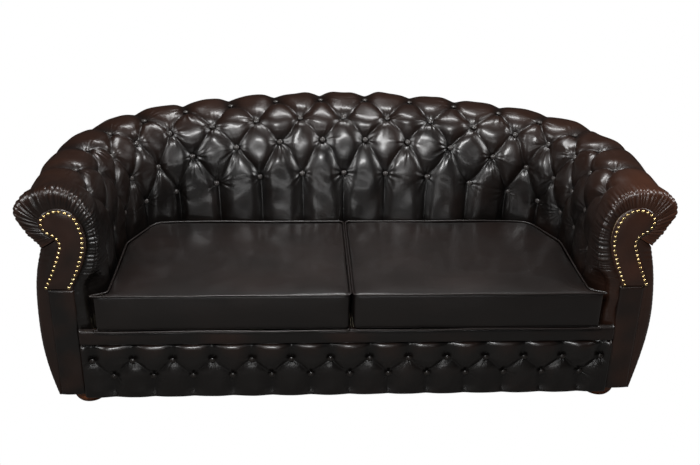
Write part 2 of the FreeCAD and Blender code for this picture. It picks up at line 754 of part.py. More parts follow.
def apron_section(column, end):
    """Closed section of the apron across its height, square to X."""
    x = max(-apron_half_width, min(column * apron_half_pitch, apron_half_width))
    base = size("base_height")
    top = base + size("apron_height")
    heights = [base + size("apron_height") * level / APRON_LEVELS[-1] for level in APRON_LEVELS]
    full = size("apron_projection")
    shares = [apron_share(column, level) for level in range(len(heights))]
    if end:
        shares = [0.5] * len(heights)
    points = [apron_point(x, share, height, full - drop)
              for share, height, drop in zip(shares, heights, APRON_EDGE_DROP)]
    edges = []
    for index in range(len(points) - 1):
        start, finish = points[index], points[index + 1]
        rise = abs(start.y - finish.y) / 4 + APRON_CROWN
        middle = (start + finish) * 0.5 - Vector(0, rise, 0)
        edges.append(edge(start, middle, finish))
    back = face_y + apron_back
    corners = [points[-1], Vector(x, back, top), Vector(x, back, base), points[0]]
    edges += [Part.LineSegment(a, b).toShape() for a, b in zip(corners, corners[1:])]
    return Part.Wire(edges)


apron_columns = int(apron_half_width / apron_half_pitch)
apron_steps = [step / 2 for step in range(-2 * apron_columns, 2 * apron_columns + 1)]
apron_run = [apron_section(-apron_columns - 1, True)] + [apron_section(step, False) for step in apron_steps]
apron_run.append(apron_section(apron_columns + 1, True))
add_piece("apron_tufted_cover", ruled_solid(apron_run))

apron_buttons = []
for column in range(-apron_columns, apron_columns + 1):
    level = 2 if column % 2 else 1
    height = size("base_height") + size("apron_height") * APRON_LEVELS[level] / APRON_LEVELS[-1]
    seat = apron_point(column * apron_half_pitch, 1, height, size("apron_projection"))
    apron_buttons.append(set_on(button_shape(), seat - Vector(0, APRON_BUTTON_LIFT, 0), Vector(0, -1, 0)))
add_piece("apron_buttons", Part.Compound(apron_buttons))

STRIP_END = "(%s - Sizes.arm_post_inset - Sizes.post_panel_margin - Sizes.clearance)" % SIDE
STRIP_DEPTH = "Sizes.apron_projection - Sizes.strip_setback + Sizes.frame_setback - Sizes.clearance"
STRIP_BOTTOM = "(Sizes.base_height + Sizes.apron_height + Sizes.clearance)"
DECK = "(Sizes.seat_height - Sizes.cushion_thickness)"
STRIP_HEIGHT = "%s - Sizes.clearance - %s" % (DECK, STRIP_BOTTOM)
STRIP_FRONT = FACE + " - Sizes.apron_projection + Sizes.strip_setback"
strip = add_box("border_strip_blank", ("2 * " + STRIP_END, STRIP_DEPTH, STRIP_HEIGHT),
                ("-" + STRIP_END, STRIP_FRONT, STRIP_BOTTOM))
document.recompute()
STRIP_ROUNDING = 7
front_edges = [index for index, item in enumerate(strip.Shape.Edges, start=1)
               if item.BoundBox.YMax < strip.Shape.BoundBox.YMin + 1 and item.BoundBox.XLength > 10]
border_strip = document.addObject("Part::Fillet", "border_strip")
border_strip.Base = strip
border_strip.Edges = [(index, STRIP_ROUNDING, STRIP_ROUNDING) for index in front_edges]
border_strip.Label = "border_strip"


# Seat platform: serpentine springs on clips, hessian over them and a foam pad

spring_radius = size("spring_wire_radius")
CLIP_THICKNESS = 5
SPRING_PITCH = 40
SPRING_HALF_WIDTH = 22
CLIP_LENGTH = 26
CLIP_WIDTH = 20
spring_level = size("rail_top") + CLIP_THICKNESS + clearance + spring_radius
front_rail_middle = frame_front + size("rail_thickness") / 2
rear_rail_middle = rear_rail_y + size("rail_thickness") / 2
spring_run = rear_rail_middle - front_rail_middle
spring_end = side_x - size("seat_rail_inset") - SPRING_HALF_WIDTH - spring_radius
spring_spacing = 2 * spring_end / (size("spring_count") - 1)
spring_places = [-spring_end + number * spring_spacing for number in range(int(size("spring_count")))]


def spring_shape():
    """One serpentine spring lying along Y from the origin: cross runs joined by half turns."""
    turns = int(spring_run / SPRING_PITCH)
    pitch = spring_run / turns
    turn = pitch / 2
    edges = []
    for number in range(turns):
        hand = 1 if number % 2 else -1
        near = number * pitch
        start = Vector(0, near, 0)
        inner = Vector(hand * (SPRING_HALF_WIDTH - turn), near, 0)
        outer = Vector(hand * SPRING_HALF_WIDTH, near + turn, 0)
        leave = Vector(hand * (SPRING_HALF_WIDTH - turn), near + pitch, 0)
        edges.append(Part.LineSegment(start, inner).toShape())
        edges.append(Part.Arc(inner, outer, leave).toShape())
        edges.append(Part.LineSegment(leave, Vector(0, near + pitch, 0)).toShape())
    path = Part.Wire(edges)
    ring = Part.Wire(Part.makeCircle(spring_radius, Vector(), Vector(edges[0].tangentAt(0))))
    return path.makePipeShell([ring], True, False)


spring = spring_shape()
upward = Vector(0, 0, 1)
add_piece("seat_springs", Part.Compound([
    set_on(spring, Vector(x, front_rail_middle, spring_level), upward) for x in spring_places]))
clip = Part.makeBox(CLIP_LENGTH, CLIP_WIDTH, CLIP_THICKNESS, Vector(-CLIP_LENGTH / 2, -CLIP_WIDTH / 2, 0))
add_piece("spring_clips", Part.Compound([
    set_on(clip, Vector(x, y, size("rail_top")), upward)
    for x in spring_places for y in (front_rail_middle, rear_rail_middle)]))

# Seat cushions: a box shape with a crowned top, drawn-in sides and a groove for each line of piping

piping_radius = size("piping_radius")
front_y = -size("overall_depth") / 2
SIDE_CLEARANCE = 14
BACK_CLEARANCE = 14
cushion_x = side_x - size("arm_inset") - SIDE_CLEARANCE
flare_x = cushion_x + size("cushion_flare")
cushion_back = back_y - size("back_inset") - BACK_CLEARANCE
NAIL_CLEARANCE = 3
flare_back = face_y + board_front - size("facing_thickness") - NAIL_RISE - NAIL_CLEARANCE
rear_corner = corner_radius - size("arm_inset") - SIDE_CLEARANCE
rear_corner_point = Vector(corner_x + rear_corner * math.sin(math.pi / 4),
                           corner_y + rear_corner * math.cos(math.pi / 4), 0)
FLARE_FADE = 40
LEAST_FLARE = 3
LEAST_FLARE_DEPTH = 8
REAR_STEP = 90
PLATFORM_SETBACK = 8
platform_front = face_y + PLATFORM_SETBACK
CUSHION_ROUNDING = 16
REAR_ROUNDING = 60
LEAST_ROUNDING = 2


def platform_sheet(bottom, thickness):
    """Flat layer of the seat platform, cut to clear the corners of the horseshoe."""
    half = [Vector(cushion_x, platform_front, bottom), Vector(cushion_x, corner_y, bottom),
            rear_corner_point + Vector(0, 0, bottom), Vector(corner_x + REAR_STEP, cushion_back, bottom)]
    outline = half + [Vector(-point.x, point.y, bottom) for point in reversed(half)]
    return Part.Face(Part.makePolygon(outline + outline[:1])).extrude(Vector(0, 0, thickness))


hessian_level = spring_level + spring_radius + clearance
platform_level = hessian_level + size("lining_thickness") + clearance
add_piece("spring_cover", platform_sheet(hessian_level, size("lining_thickness")))
add_piece("seat_platform_pad", platform_sheet(platform_level, deck_height - clearance - platform_level))


def cushion_outline(side, inset, height, slim=0):
    """Plan of one cushion, inset from the outer edge of its piping; the front flare fades further in."""
    inner_x = size("cushion_gap") / 2 + inset
    flare = max(size("cushion_flare") * (1 - inset / FLARE_FADE), LEAST_FLARE)
    front = front_y + inset
    step = max(flare_back - inset, front + LEAST_FLARE_DEPTH - 2 * slim)
    tight = CUSHION_ROUNDING - inset
    corners = [
        (inner_x, front, tight), (cushion_x + flare - inset, front, tight),
        (cushion_x + flare - inset, step, tight), (cushion_x - inset, step, CUSHION_ROUNDING + inset),
        (cushion_x - inset, corner_y, REAR_ROUNDING),
        (rear_corner_point.x - inset * 0.7, rear_corner_point.y - inset * 0.7, REAR_ROUNDING),
        (corner_x + REAR_STEP - inset * 0.4, cushion_back - inset, REAR_ROUNDING),
        (inner_x, cushion_back - inset, tight),
    ]
    points = [Vector(side * x, y, height) for x, y, radius in corners]
    starts = []
    ends = []
    arcs = []
    for index, corner in enumerate(points):
        before = points[index - 1] - corner
        after = points[(index + 1) % len(points)] - corner
        room = 0.45 * min(before.Length, after.Length)
        before.normalize()
        after.normalize()
        half_angle = before.getAngle(after) / 2
        reach = min(max(corners[index][2], LEAST_ROUNDING) / math.tan(half_angle), room)
        radius = reach * math.tan(half_angle)
        bisector = (before + after).normalize()
        nearest = corner + bisector * (radius / math.sin(half_angle) - radius)
        starts.append(corner + before * reach)
        ends.append(corner + after * reach)
        arcs.append(Part.Arc(starts[-1], nearest, ends[-1]).toShape())
    loop = []
    for index, arc in enumerate(arcs):
        loop += [arc, Part.LineSegment(ends[index], starts[(index + 1) % len(starts)]).toShape()]
    return Part.Wire(loop)


def cushion_solid(side, sections, slim=0):
    return ruled_solid([cushion_outline(side, inset, height, slim) for height, inset in sections])


PIPING_SINK = 5
groove = 2 * piping_radius + 2 * clearance
crown = size("cushion_crown")
PIPING_GROOVE_HALF = piping_radius + 2 * clearance
low_piping = deck_height + PIPING_SINK
high_piping = seat_height - PIPING_SINK
COVER_WALL = 5
cover_sections = (
    (deck_height, groove), (low_piping + PIPING_GROOVE_HALF, groove),
    (low_piping + PIPING_GROOVE_HALF + 0.2, 4),
    ((deck_height + seat_height) / 2, 1), (high_piping - PIPING_GROOVE_HALF - 0.2, 4),
    (high_piping - PIPING_GROOVE_HALF, groove), (seat_height, groove + 1), (seat_height + 0.45 * crown, 34),
    (seat_height + 0.8 * crown, 80), (seat_height + crown, 150),
)


def hollow_sections(gap):
    """Sections of the space in a cushion cover, or of the foam that fills it with a gap all round."""
    wall = groove + COVER_WALL + gap
    return ((deck_height + COVER_WALL + gap, wall), (high_piping - 8, wall),
            (seat_height + 0.45 * crown - 2 * COVER_WALL - gap, 38 + gap),
            (seat_height + crown - 2 * COVER_WALL - gap, 150 + gap))


def piping(side, height):
    """Closed cord of piping round a cushion's seam."""
    path = cushion_outline(side, piping_radius, height)
    start = path.Edges[0]
    tangent = start.tangentAt(start.FirstParameter)
    ring = Part.Wire(Part.makeCircle(piping_radius, start.Vertexes[0].Point, tangent))
    return path.makePipeShell([ring], True, False)


foam_gap = 3 * clearance
FOAM_SLIM = 1.5
for name, side in (("left", -1), ("right", 1)):
    outer = cushion_solid(side, cover_sections)
    add_piece(name + "_cushion_cover", outer.cut(cushion_solid(side, hollow_sections(0))))
    add_piece(name + "_cushion_foam", cushion_solid(side, hollow_sections(foam_gap), FOAM_SLIM))
    cords = [piping(side, height) for height in (low_piping, high_piping)]
    add_piece(name + "_cushion_piping", Part.Compound(cords))


# Feet: turned buns on hanger bolts through the dust cover into blocks in the frame

FRONT_FOOT_INSET = 50
REAR_FOOT_X = 600
REAR_FOOT_LEAD = 215
FOOT_PLACES = (("front_left", -1, side_x - FRONT_FOOT_INSET, face_y + FRONT_FOOT_SETBACK),
               ("front_right", 1, side_x - FRONT_FOOT_INSET, face_y + FRONT_FOOT_SETBACK),
               ("rear_left", -1, REAR_FOOT_X, back_y - REAR_FOOT_LEAD),
               ("rear_right", 1, REAR_FOOT_X, back_y - REAR_FOOT_LEAD))
foot_top = size("rail_bottom") - size("dust_cover_thickness")
BLOCK_HEIGHT = 32
BOLT_END_GAP = 1
BOLT_DEPTH = 36
bore_radius = size("foot_bolt_radius") + clearance


def foot_block(side, x, y, near_x, far_x, near_y, far_y):
    block = Part.makeBox(far_x - near_x, far_y - near_y, BLOCK_HEIGHT,
                         Vector(min(side * near_x, side * far_x), near_y, size("rail_bottom")))
    hole = Part.makeCylinder(bore_radius, BLOCK_HEIGHT, Vector(side * x, y, size("rail_bottom")))
    return block.cut(hole)


blocks = []
for name, side, x, y in FOOT_PLACES:
    if y < 0:
        blocks.append(foot_block(side, x, y, side_x + arm_former_foot, side_x + BASE_RAIL_OUT,
                                 frame_front + size("arm_post_depth"), y + BLOCK_REACH))
    else:
        blocks.append(foot_block(side, x, y, x - BLOCK_REACH, x + BLOCK_REACH,
                                 rear_rail_back, y + BLOCK_REACH))
add_piece("foot_blocks", Part.Compound(blocks))


def plane_of(body, role):
    return [item for item in body.Origin.OriginFeatures if item.Role == role][0]


FOOT_WAIST = 0.8
WAIST = "%g * Sizes.foot_radius" % FOOT_WAIST
GLIDE_SHARE = 0.5
FOOT_HEIGHT = "(Sizes.rail_bottom - Sizes.dust_cover_thickness - Sizes.glide_thickness)"


def bun_foot(label, x, y):
    """Turned foot: half profile on the XZ plane with a blind bore for its bolt, revolved about Z."""
    body = document.addObject("PartDesign::Body", label + "_foot")
    sketch = body.newObject("Sketcher::SketchObject", label + "_foot_profile")
    sketch.AttachmentSupport = [(plane_of(body, "XZ_Plane"), "")]
    sketch.MapMode = "FlatFace"
    base = size("glide_thickness")
    widest = size("foot_radius")
    waist = FOOT_WAIST * widest
    corners = [(0, base), (waist, base), (waist, foot_top), (bore_radius, foot_top),
               (bore_radius, foot_top - BOLT_DEPTH), (0, foot_top - BOLT_DEPTH)]
    points = [Vector(*corner, 0) for corner in corners]
    sketch.addGeometry(Part.LineSegment(points[0], points[1]), False)
    for start, end in zip(points[2:], points[3:] + points[:1]):
        sketch.addGeometry(Part.LineSegment(start, end), False)
    bulge = Part.Arc(points[1], Vector(widest, (base + foot_top) / 2, 0), points[2])
    sketch.addGeometry(bulge, False)
    loop = ((0, 2, 5, 1), (5, 2, 1, 1), (1, 2, 2, 1), (2, 2, 3, 1), (3, 2, 4, 1), (4, 2, 0, 1))
    for first, first_end, second, second_end in loop:
        sketch.addConstraint(Sketcher.Constraint("Coincident", first, first_end, second, second_end))
    for number, kind in enumerate(("Horizontal", "Horizontal", "Vertical", "Horizontal", "Vertical")):
        sketch.addConstraint(Sketcher.Constraint(kind, number))
    sketch.addConstraint(Sketcher.Constraint("PointOnObject", 0, 1, -2))
    sizes = (("floor_gap", "DistanceY", (-1, 1, 0, 1), base, "Sizes.glide_thickness"),
             ("lower_radius", "DistanceX", (0, 1, 0, 2), waist, WAIST),
             ("upper_radius", "DistanceX", (-1, 1, 1, 1), waist, WAIST),
             ("foot_height", "DistanceY", (0, 2, 1, 1), foot_top - base, FOOT_HEIGHT),
             ("bore", "DistanceX", (-1, 1, 2, 1), bore_radius, "Sizes.foot_bolt_radius + Sizes.clearance"),
             ("bore_depth", "DistanceY", (2, 2, 2, 1), BOLT_DEPTH, "%g" % BOLT_DEPTH),
             ("bulge_radius", "Radius", (5,), bulge.toShape().Curve.Radius,
              "(%s ^ 2 / 4 + (Sizes.foot_radius - %s) ^ 2) / (2 * (Sizes.foot_radius - %s))"
              % (FOOT_HEIGHT, WAIST, WAIST)))
    for name, kind, ends, value, expression in sizes:
        number = sketch.addConstraint(Sketcher.Constraint(kind, *ends, value))
        sketch.renameConstraint(number, name)
        sketch.setExpression("Constraints." + name, expression)
    turning = body.newObject("PartDesign::Revolution", label + "_foot_turning")
    turning.Profile = sketch
    turning.ReferenceAxis = (sketch, ["V_Axis"])
    turning.Angle = 360
    body.Placement = Placement(Vector(x, y, 0), Rotation())
    body.Label = label + "_foot"
    return body


for name, side, x, y in FOOT_PLACES:
    bun_foot(name, side * x, y)
BOLT_TOP_GAP = 4
bolt_length = BOLT_DEPTH - BOLT_END_GAP + size("dust_cover_thickness") + BLOCK_HEIGHT - BOLT_TOP_GAP
bolt_bottom = foot_top - BOLT_DEPTH + BOLT_END_GAP
add_piece("foot_bolts", Part.Compound([
    Part.makeCylinder(size("foot_bolt_radius"), bolt_length, Vector(side * x, y, bolt_bottom))
    for name, side, x, y in FOOT_PLACES]))
add_piece("foot_glides", Part.Compound([
    Part.makeCylinder(size("foot_radius") * GLIDE_SHARE, size("glide_thickness"), Vector(side * x, y, 0))
    for name, side, x, y in FOOT_PLACES]))


# Dust cover under the frame, holed for the bolts

DUST_COVER_OUT = 15
cover_edge = offset_arcs(-side_end, side_end, DUST_COVER_OUT, foot_top)
cover_front = [place(-side_end, DUST_COVER_OUT, foot_top), place(-front_station, DUST_COVER_OUT, foot_top),
               place(front_station, DUST_COVER_OUT, foot_top), place(side_end, DUST_COVER_OUT, foot_top)]
setback = Vector(0, PLATFORM_SETBACK, 0)
cover_front[1:3] = [corner + setback for corner in cover_front[1:3]]
cover_edge += [Part.LineSegment(a, b).toShape() for a, b in zip(cover_front, cover_front[1:])]
outline = Part.Wire(Part.sortEdges(cover_edge)[0])
dust_cover = Part.Face(outline).extrude(Vector(0, 0, size("dust_cover_thickness")))
dust_holes = [Part.makeCylinder(bore_radius, size("dust_cover_thickness"), Vector(side * x, y, foot_top))
              for name, side, x, y in FOOT_PLACES]
add_piece("dust_cover", dust_cover.cut(dust_holes))


# Check and write

document.recompute()
parts = [item for item in document.Objects
         if item.TypeId in ("Part::Feature", "Part::Box", "Part::Fillet", "PartDesign::Body")
         and item.Label != "border_strip_blank"]
problems = [item.Label for item in document.Objects if "Invalid" in item.State or "Error" in item.State]
problems += [item.Label for item in parts if item.Shape.isNull() or not item.Shape.isValid()]
if problems:
    raise SystemExit("not valid: " + ", ".join(problems))
os.makedirs("parts", exist_ok=True)
for item in parts:
    item.Shape.exportStep("parts/" + item.Label + ".step")
print(len(parts), "sub-parts written")
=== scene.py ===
import math

import bmesh
import bpy
import numpy as np
from mathutils import Matrix, Vector
from mathutils.geometry import delaunay_2d_cdt


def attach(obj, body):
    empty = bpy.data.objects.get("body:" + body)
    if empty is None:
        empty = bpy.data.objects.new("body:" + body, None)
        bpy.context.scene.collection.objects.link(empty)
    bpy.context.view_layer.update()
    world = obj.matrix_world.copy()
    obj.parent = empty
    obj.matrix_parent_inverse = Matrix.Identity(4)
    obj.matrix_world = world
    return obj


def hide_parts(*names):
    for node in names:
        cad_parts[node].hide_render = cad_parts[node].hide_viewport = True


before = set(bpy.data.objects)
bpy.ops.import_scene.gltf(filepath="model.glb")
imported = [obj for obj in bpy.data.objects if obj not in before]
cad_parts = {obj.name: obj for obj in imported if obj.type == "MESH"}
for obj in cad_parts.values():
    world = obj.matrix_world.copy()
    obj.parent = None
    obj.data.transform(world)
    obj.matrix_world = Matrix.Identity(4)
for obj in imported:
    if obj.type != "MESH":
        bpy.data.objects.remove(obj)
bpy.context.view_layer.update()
scene = bpy.context.scene

# Sizes in millimetres, the same as the frame's own

SIDE_X = 905.0
BACK_Y = 382.0
FACE_Y = -426.0
CORNER_RADIUS = 400.0
BACK_RADIUS = 2200.0
SEAT = 435.0
ARM_TOP = 765.0
BACK_TOP = 825.0
CUSHION_THICKNESS = 135.0
CUSHION_BOTTOM = SEAT - CUSHION_THICKNESS
ARM_INSET = 137.0
BACK_INSET = 277.0
HALF_PITCH = 84.0
TUFT_DEPTH = 26.0
BASE = 48.0
CORNER_X = SIDE_X - CORNER_RADIUS
CORNER_Y = BACK_Y - BACK_RADIUS + math.sqrt((BACK_RADIUS - CORNER_RADIUS) ** 2 - CORNER_X ** 2)
BACK_ANGLE = math.asin(CORNER_X / (BACK_RADIUS - CORNER_RADIUS))
BACK_LENGTH = BACK_RADIUS * BACK_ANGLE
CORNER_LENGTH = CORNER_RADIUS * (math.pi / 2 - BACK_ANGLE)
FRONT = BACK_LENGTH + CORNER_LENGTH + CORNER_Y - FACE_Y
LAST_COLUMN = 16


# Smooth random fields

def waves(points, length, seed, count=18):
    """Smooth noise of about unit size: a sum of plane waves near one wavelength."""
    rng = np.random.default_rng(seed)
    total = np.zeros(len(points))
    for _ in range(count):
        way = rng.normal(size=points.shape[1])
        way /= np.linalg.norm(way)
        wavelength = length * rng.uniform(0.7, 1.5)
        phase = rng.uniform(0, 6.28)
        total += np.sin(points @ way * (2 * math.pi / wavelength) + phase)
    return total / math.sqrt(count / 2)


def smooth(low, high, x):
    """Share that rises gently from 0 at low to 1 at high."""
    share = np.clip((x - low) / (high - low), 0, 1)
    return share * share * (3 - 2 * share)


# The horseshoe: the roll's centre line in plan and the upholstered section along it

def centre_line(s):
    """Place of the roll's centre line and the way outward from it, at stations s run from the middle."""
    side = np.where(s < 0, -1.0, 1.0)
    run = np.abs(s)
    corner = BACK_ANGLE + np.clip(run - BACK_LENGTH, 0, CORNER_LENGTH) / CORNER_RADIUS
    angle = np.where(run < BACK_LENGTH, run / BACK_RADIUS, corner)
    past = np.maximum(run - BACK_LENGTH - CORNER_LENGTH, 0)
    on_back = run < BACK_LENGTH
    back_y = BACK_Y - BACK_RADIUS + BACK_RADIUS * np.cos(angle)
    x = np.where(on_back, BACK_RADIUS * np.sin(angle), CORNER_X + CORNER_RADIUS * np.sin(angle))
    y = np.where(on_back, back_y, CORNER_Y + CORNER_RADIUS * np.cos(angle) - past)
    return side * x, y, side * np.sin(angle), np.cos(angle)


# Sections of the arm and of the back at nine levels, from the deck over the roll to its neck: the distance
# outward from the centre line, the share of the rise from seat to top, and how far the front draws in

ARM_OUT = np.array([-137, -137, -139, -138, -108, -45, 45, 92, 40.0])
BACK_OUT = np.array([-277, -277, -238, -190, -136, -30, 50, 88, 45.0])
ARM_RISE = np.array([0, 0, 0.20, 0.515, 0.82, 0.976, 0.96, 0.74, 0.41])
BACK_RISE = np.array([0, 0, 0.418, 0.708, 0.90, 0.996, 0.96, 0.795, 0.56])
DRAW = np.array([46, 46, 14, 0, 0, 0, 6, 11, 0.0])
DECK = 284.0
DRAW_RUN = 80.0
LEAN_END = 880.0
LEAN_POWER = 1.6


def lean(s):
    """Share of the back's section at each station: 1 in the middle of the back, 0 along the arms."""
    return np.cos(math.pi / 2 * np.minimum(np.abs(s) / LEAN_END, 1) ** LEAN_POWER) ** 2


def top_height(s):
    """Height of the roll's top, which falls from the middle of the back to the arm fronts."""
    return ARM_TOP + (BACK_TOP - ARM_TOP) * np.cos(math.pi / 2 * np.minimum(np.abs(s) / FRONT, 1)) ** 2


def levels(s):
    """Distance outward and height of the nine levels at each station."""
    share = lean(s)[:, None]
    out = ARM_OUT * (1 - share) + BACK_OUT * share
    draw = np.clip(1 - (ROLL_START - np.abs(s)) / DRAW_RUN, 0, 1) ** 2
    out = out + DRAW * draw[:, None]
    rise = ARM_RISE * (1 - share) + BACK_RISE * share
    height = SEAT + rise * (top_height(s)[:, None] - SEAT)
    height[:, 0] = DECK
    return out, height


def crown(s, t):
    """Smooth section through the levels: distance outward and height for stations s and positions t."""
    out, height = levels(s)
    index = np.minimum(t.astype(int), 7)
    u = t - index
    rows = np.arange(len(s))
    result = []
    for table in (out, height):
        a, b, c, d = (table[rows, np.clip(index + step, 0, 8)] for step in (-1, 0, 1, 2))
        square = (2 * a - 5 * b + 4 * c - d) * u ** 2
        cube = (3 * b - a - 3 * c + d) * u ** 3
        result.append(0.5 * (2 * b + (c - a) * u + square + cube))
    return result


def place(s, out, height):
    """Points at stations s, a distance outward from the centre line and a height."""
    x, y, way_x, way_y = centre_line(s)
    return np.stack([x + way_x * out, y + way_y * out, height], axis=-1)


# The arm fronts: nail line of the facings, given outward from the centre line and as a share of the rise

NAIL_LINE = (
    ((-37, 0.02), (-64, 0.19), (-87, 0.385)),
    ((-87, 0.385), (-91, 0.545), (-76, 0.712)),
    ((-76, 0.712), (-25, 0.79), (23, 0.695)),
    ((23, 0.695), (18, 0.62), (-7, 0.555)),
    ((-7, 0.555), (-25, 0.465), (-19, 0.379)),
    ((-19, 0.379), (5, 0.19), (32, 0.02)),
)
ROLL_RADIUS = 21.0
SMOOTHING_PASSES = 9
ROLL_START = FRONT - ROLL_RADIUS - 1


def arc_points(a, b, c, count):
    """Points on the arc through three points in a plane."""
    (ax, ay), (bx, by), (cx, cy) = a, b, c
    d = 2 * (ax * (by - cy) + bx * (cy - ay) + cx * (ay - by))
    a_square, b_square, c_square = ax ** 2 + ay ** 2, bx ** 2 + by ** 2, cx ** 2 + cy ** 2
    ux = (a_square * (by - cy) + b_square * (cy - ay) + c_square * (ay - by)) / d
    uy = (a_square * (cx - bx) + b_square * (ax - cx) + c_square * (bx - ax)) / d
    r = math.hypot(ax - ux, ay - uy)
    start, mid, end = (math.atan2(p[1] - uy, p[0] - ux) for p in (a, b, c))
    turn = (end - start) % (2 * math.pi)
    if (mid - start) % (2 * math.pi) > turn:
        turn -= 2 * math.pi
    angles = start + turn * np.linspace(0, 1, count)
    return np.stack([ux + r * np.cos(angles), uy + r * np.sin(angles)], axis=-1)


def nail_curve(count=40):
    """Nail line as points (outward, height), with its arcs end to end."""
    rows = []
    for arc in NAIL_LINE:
        points = [(out, SEAT + share * (ARM_TOP - SEAT)) for out, share in arc]
        rows.append(arc_points(*points, count)[:-1 if arc is not NAIL_LINE[-1] else None])
    return np.concatenate(rows)


def offset_curve(points, distance):
    """Curve moved to its left by a distance, with loops at tight bends flattened by smoothing."""
    tangent = np.gradient(points, axis=0)
    tangent /= np.linalg.norm(tangent, axis=1)[:, None] + 1e-9
    normal = np.stack([-tangent[:, 1], tangent[:, 0]], axis=-1)
    moved = points + normal * distance
    for _ in range(SMOOTHING_PASSES):
        moved[1:-1] = 0.5 * moved[1:-1] + 0.25 * (moved[:-2] + moved[2:])
    return moved


def along(points, share):
    """Point on a polyline at shares of its number of points, from 0 to 1."""
    place_at = np.clip(share, 0, 1) * (len(points) - 1)
    index = np.minimum(place_at.astype(int), len(points) - 2)
    u = (place_at - index)[:, None]
    return points[index] * (1 - u) + points[index + 1] * u


# Mesh helpers

def set_wear_and_painted_light(mesh, rub_and_painted_light, painted_shade):
    """Stores at each point its brown wear with any painted light in it, and how dark its painted shade is,
    deep in a crease or on a shaded band.
    """
    for key, values in (("rub_and_painted_light", rub_and_painted_light), ("painted_shade", painted_shade)):
        layer = mesh.attributes.new(key, "FLOAT", "POINT")
        layer.data.foreach_set("value", np.asarray(values, np.float32))


def new_object(name, points, faces, material, rub_and_painted_light, painted_shade):
    """Smooth object of points in millimetres."""
    mesh = bpy.data.meshes.new(name)
    mesh.from_pydata((np.asarray(points) / 1000).tolist(), [], faces)
    mesh.update()
    set_wear_and_painted_light(mesh, rub_and_painted_light, painted_shade)
    mesh.shade_smooth()
    item = bpy.data.objects.new(name, mesh)
    scene.collection.objects.link(item)
    mesh.materials.append(material)
    return item


def grid_faces(rows, columns, flip=False, closed=False):
    """Quads of a grid whose points are stored row by row."""
    r, c = np.meshgrid(np.arange(rows - 1), np.arange(columns if closed else columns - 1), indexing="ij")
    n = (c + 1) % columns
    row, next_row = r * columns, (r + 1) * columns
    quads = np.stack([row + c, row + n, next_row + n, next_row + c], axis=-1).reshape(-1, 4)
    if flip:
        quads = quads[:, ::-1]
    return quads.tolist()


def skin_normals(points):
    """Unit normals of a grid of points, outward from the upholstery."""
    du = np.gradient(points, axis=0)
    dv = np.gradient(points, axis=1)
    normal = np.cross(du, dv)
    length = np.linalg.norm(normal, axis=2, keepdims=True)
    return -normal / np.maximum(length, 1e-9)


# Procedural materials

def new_material(name):
    """New material with its nodes, its links and its shader."""
    material = bpy.data.materials.new(name)
    material.use_nodes = True
    nodes = material.node_tree.nodes
    return material, nodes, material.node_tree.links, nodes["Principled BSDF"]


def noise_node(nodes, links, scale, detail=3.0, roughness=0.55):
    """Noise in the object's own coordinates."""
    coordinates = nodes.new("ShaderNodeTexCoord")
    noise = nodes.new("ShaderNodeTexNoise")
    noise.inputs["Scale"].default_value = scale
    noise.inputs["Detail"].default_value = detail
    noise.inputs["Roughness"].default_value = roughness
    links.new(coordinates.outputs["Object"], noise.inputs["Vector"])
    return noise


def ramp_node(nodes, links, source, stops):
    """Colour ramp over a value, with its stops as positions and colours."""
    ramp = nodes.new("ShaderNodeValToRGB")
    while len(ramp.color_ramp.elements) < len(stops):
        ramp.color_ramp.elements.new(0.5)
    for element, (position, color) in zip(ramp.color_ramp.elements, stops):
        element.position = position
        element.color = (*color, 1)
    links.new(source, ramp.inputs["Fac"])
    return ramp


def mix_colors(nodes, links, share, first, second):
    """Output of a colour mix whose share is a socket and whose colours are sockets or values."""
    mix = nodes.new("ShaderNodeMix")
    mix.data_type = "RGBA"
    for index, value in ((0, share), (6, first), (7, second)):
        if isinstance(value, tuple):
            mix.inputs[index].default_value = (*value, 1)
        else:
            links.new(value, mix.inputs[index])
    return mix.outputs[2]


def maths(nodes, links, operation, *values):
    """Output of an arithmetic node whose inputs are numbers or sockets."""
    node = nodes.new("ShaderNodeMath")
    node.operation = operation
    for index, value in enumerate(values):
        if isinstance(value, (int, float)):
            node.inputs[index].default_value = value
        else:
            links.new(value, node.inputs[index])
    return node.outputs[0]


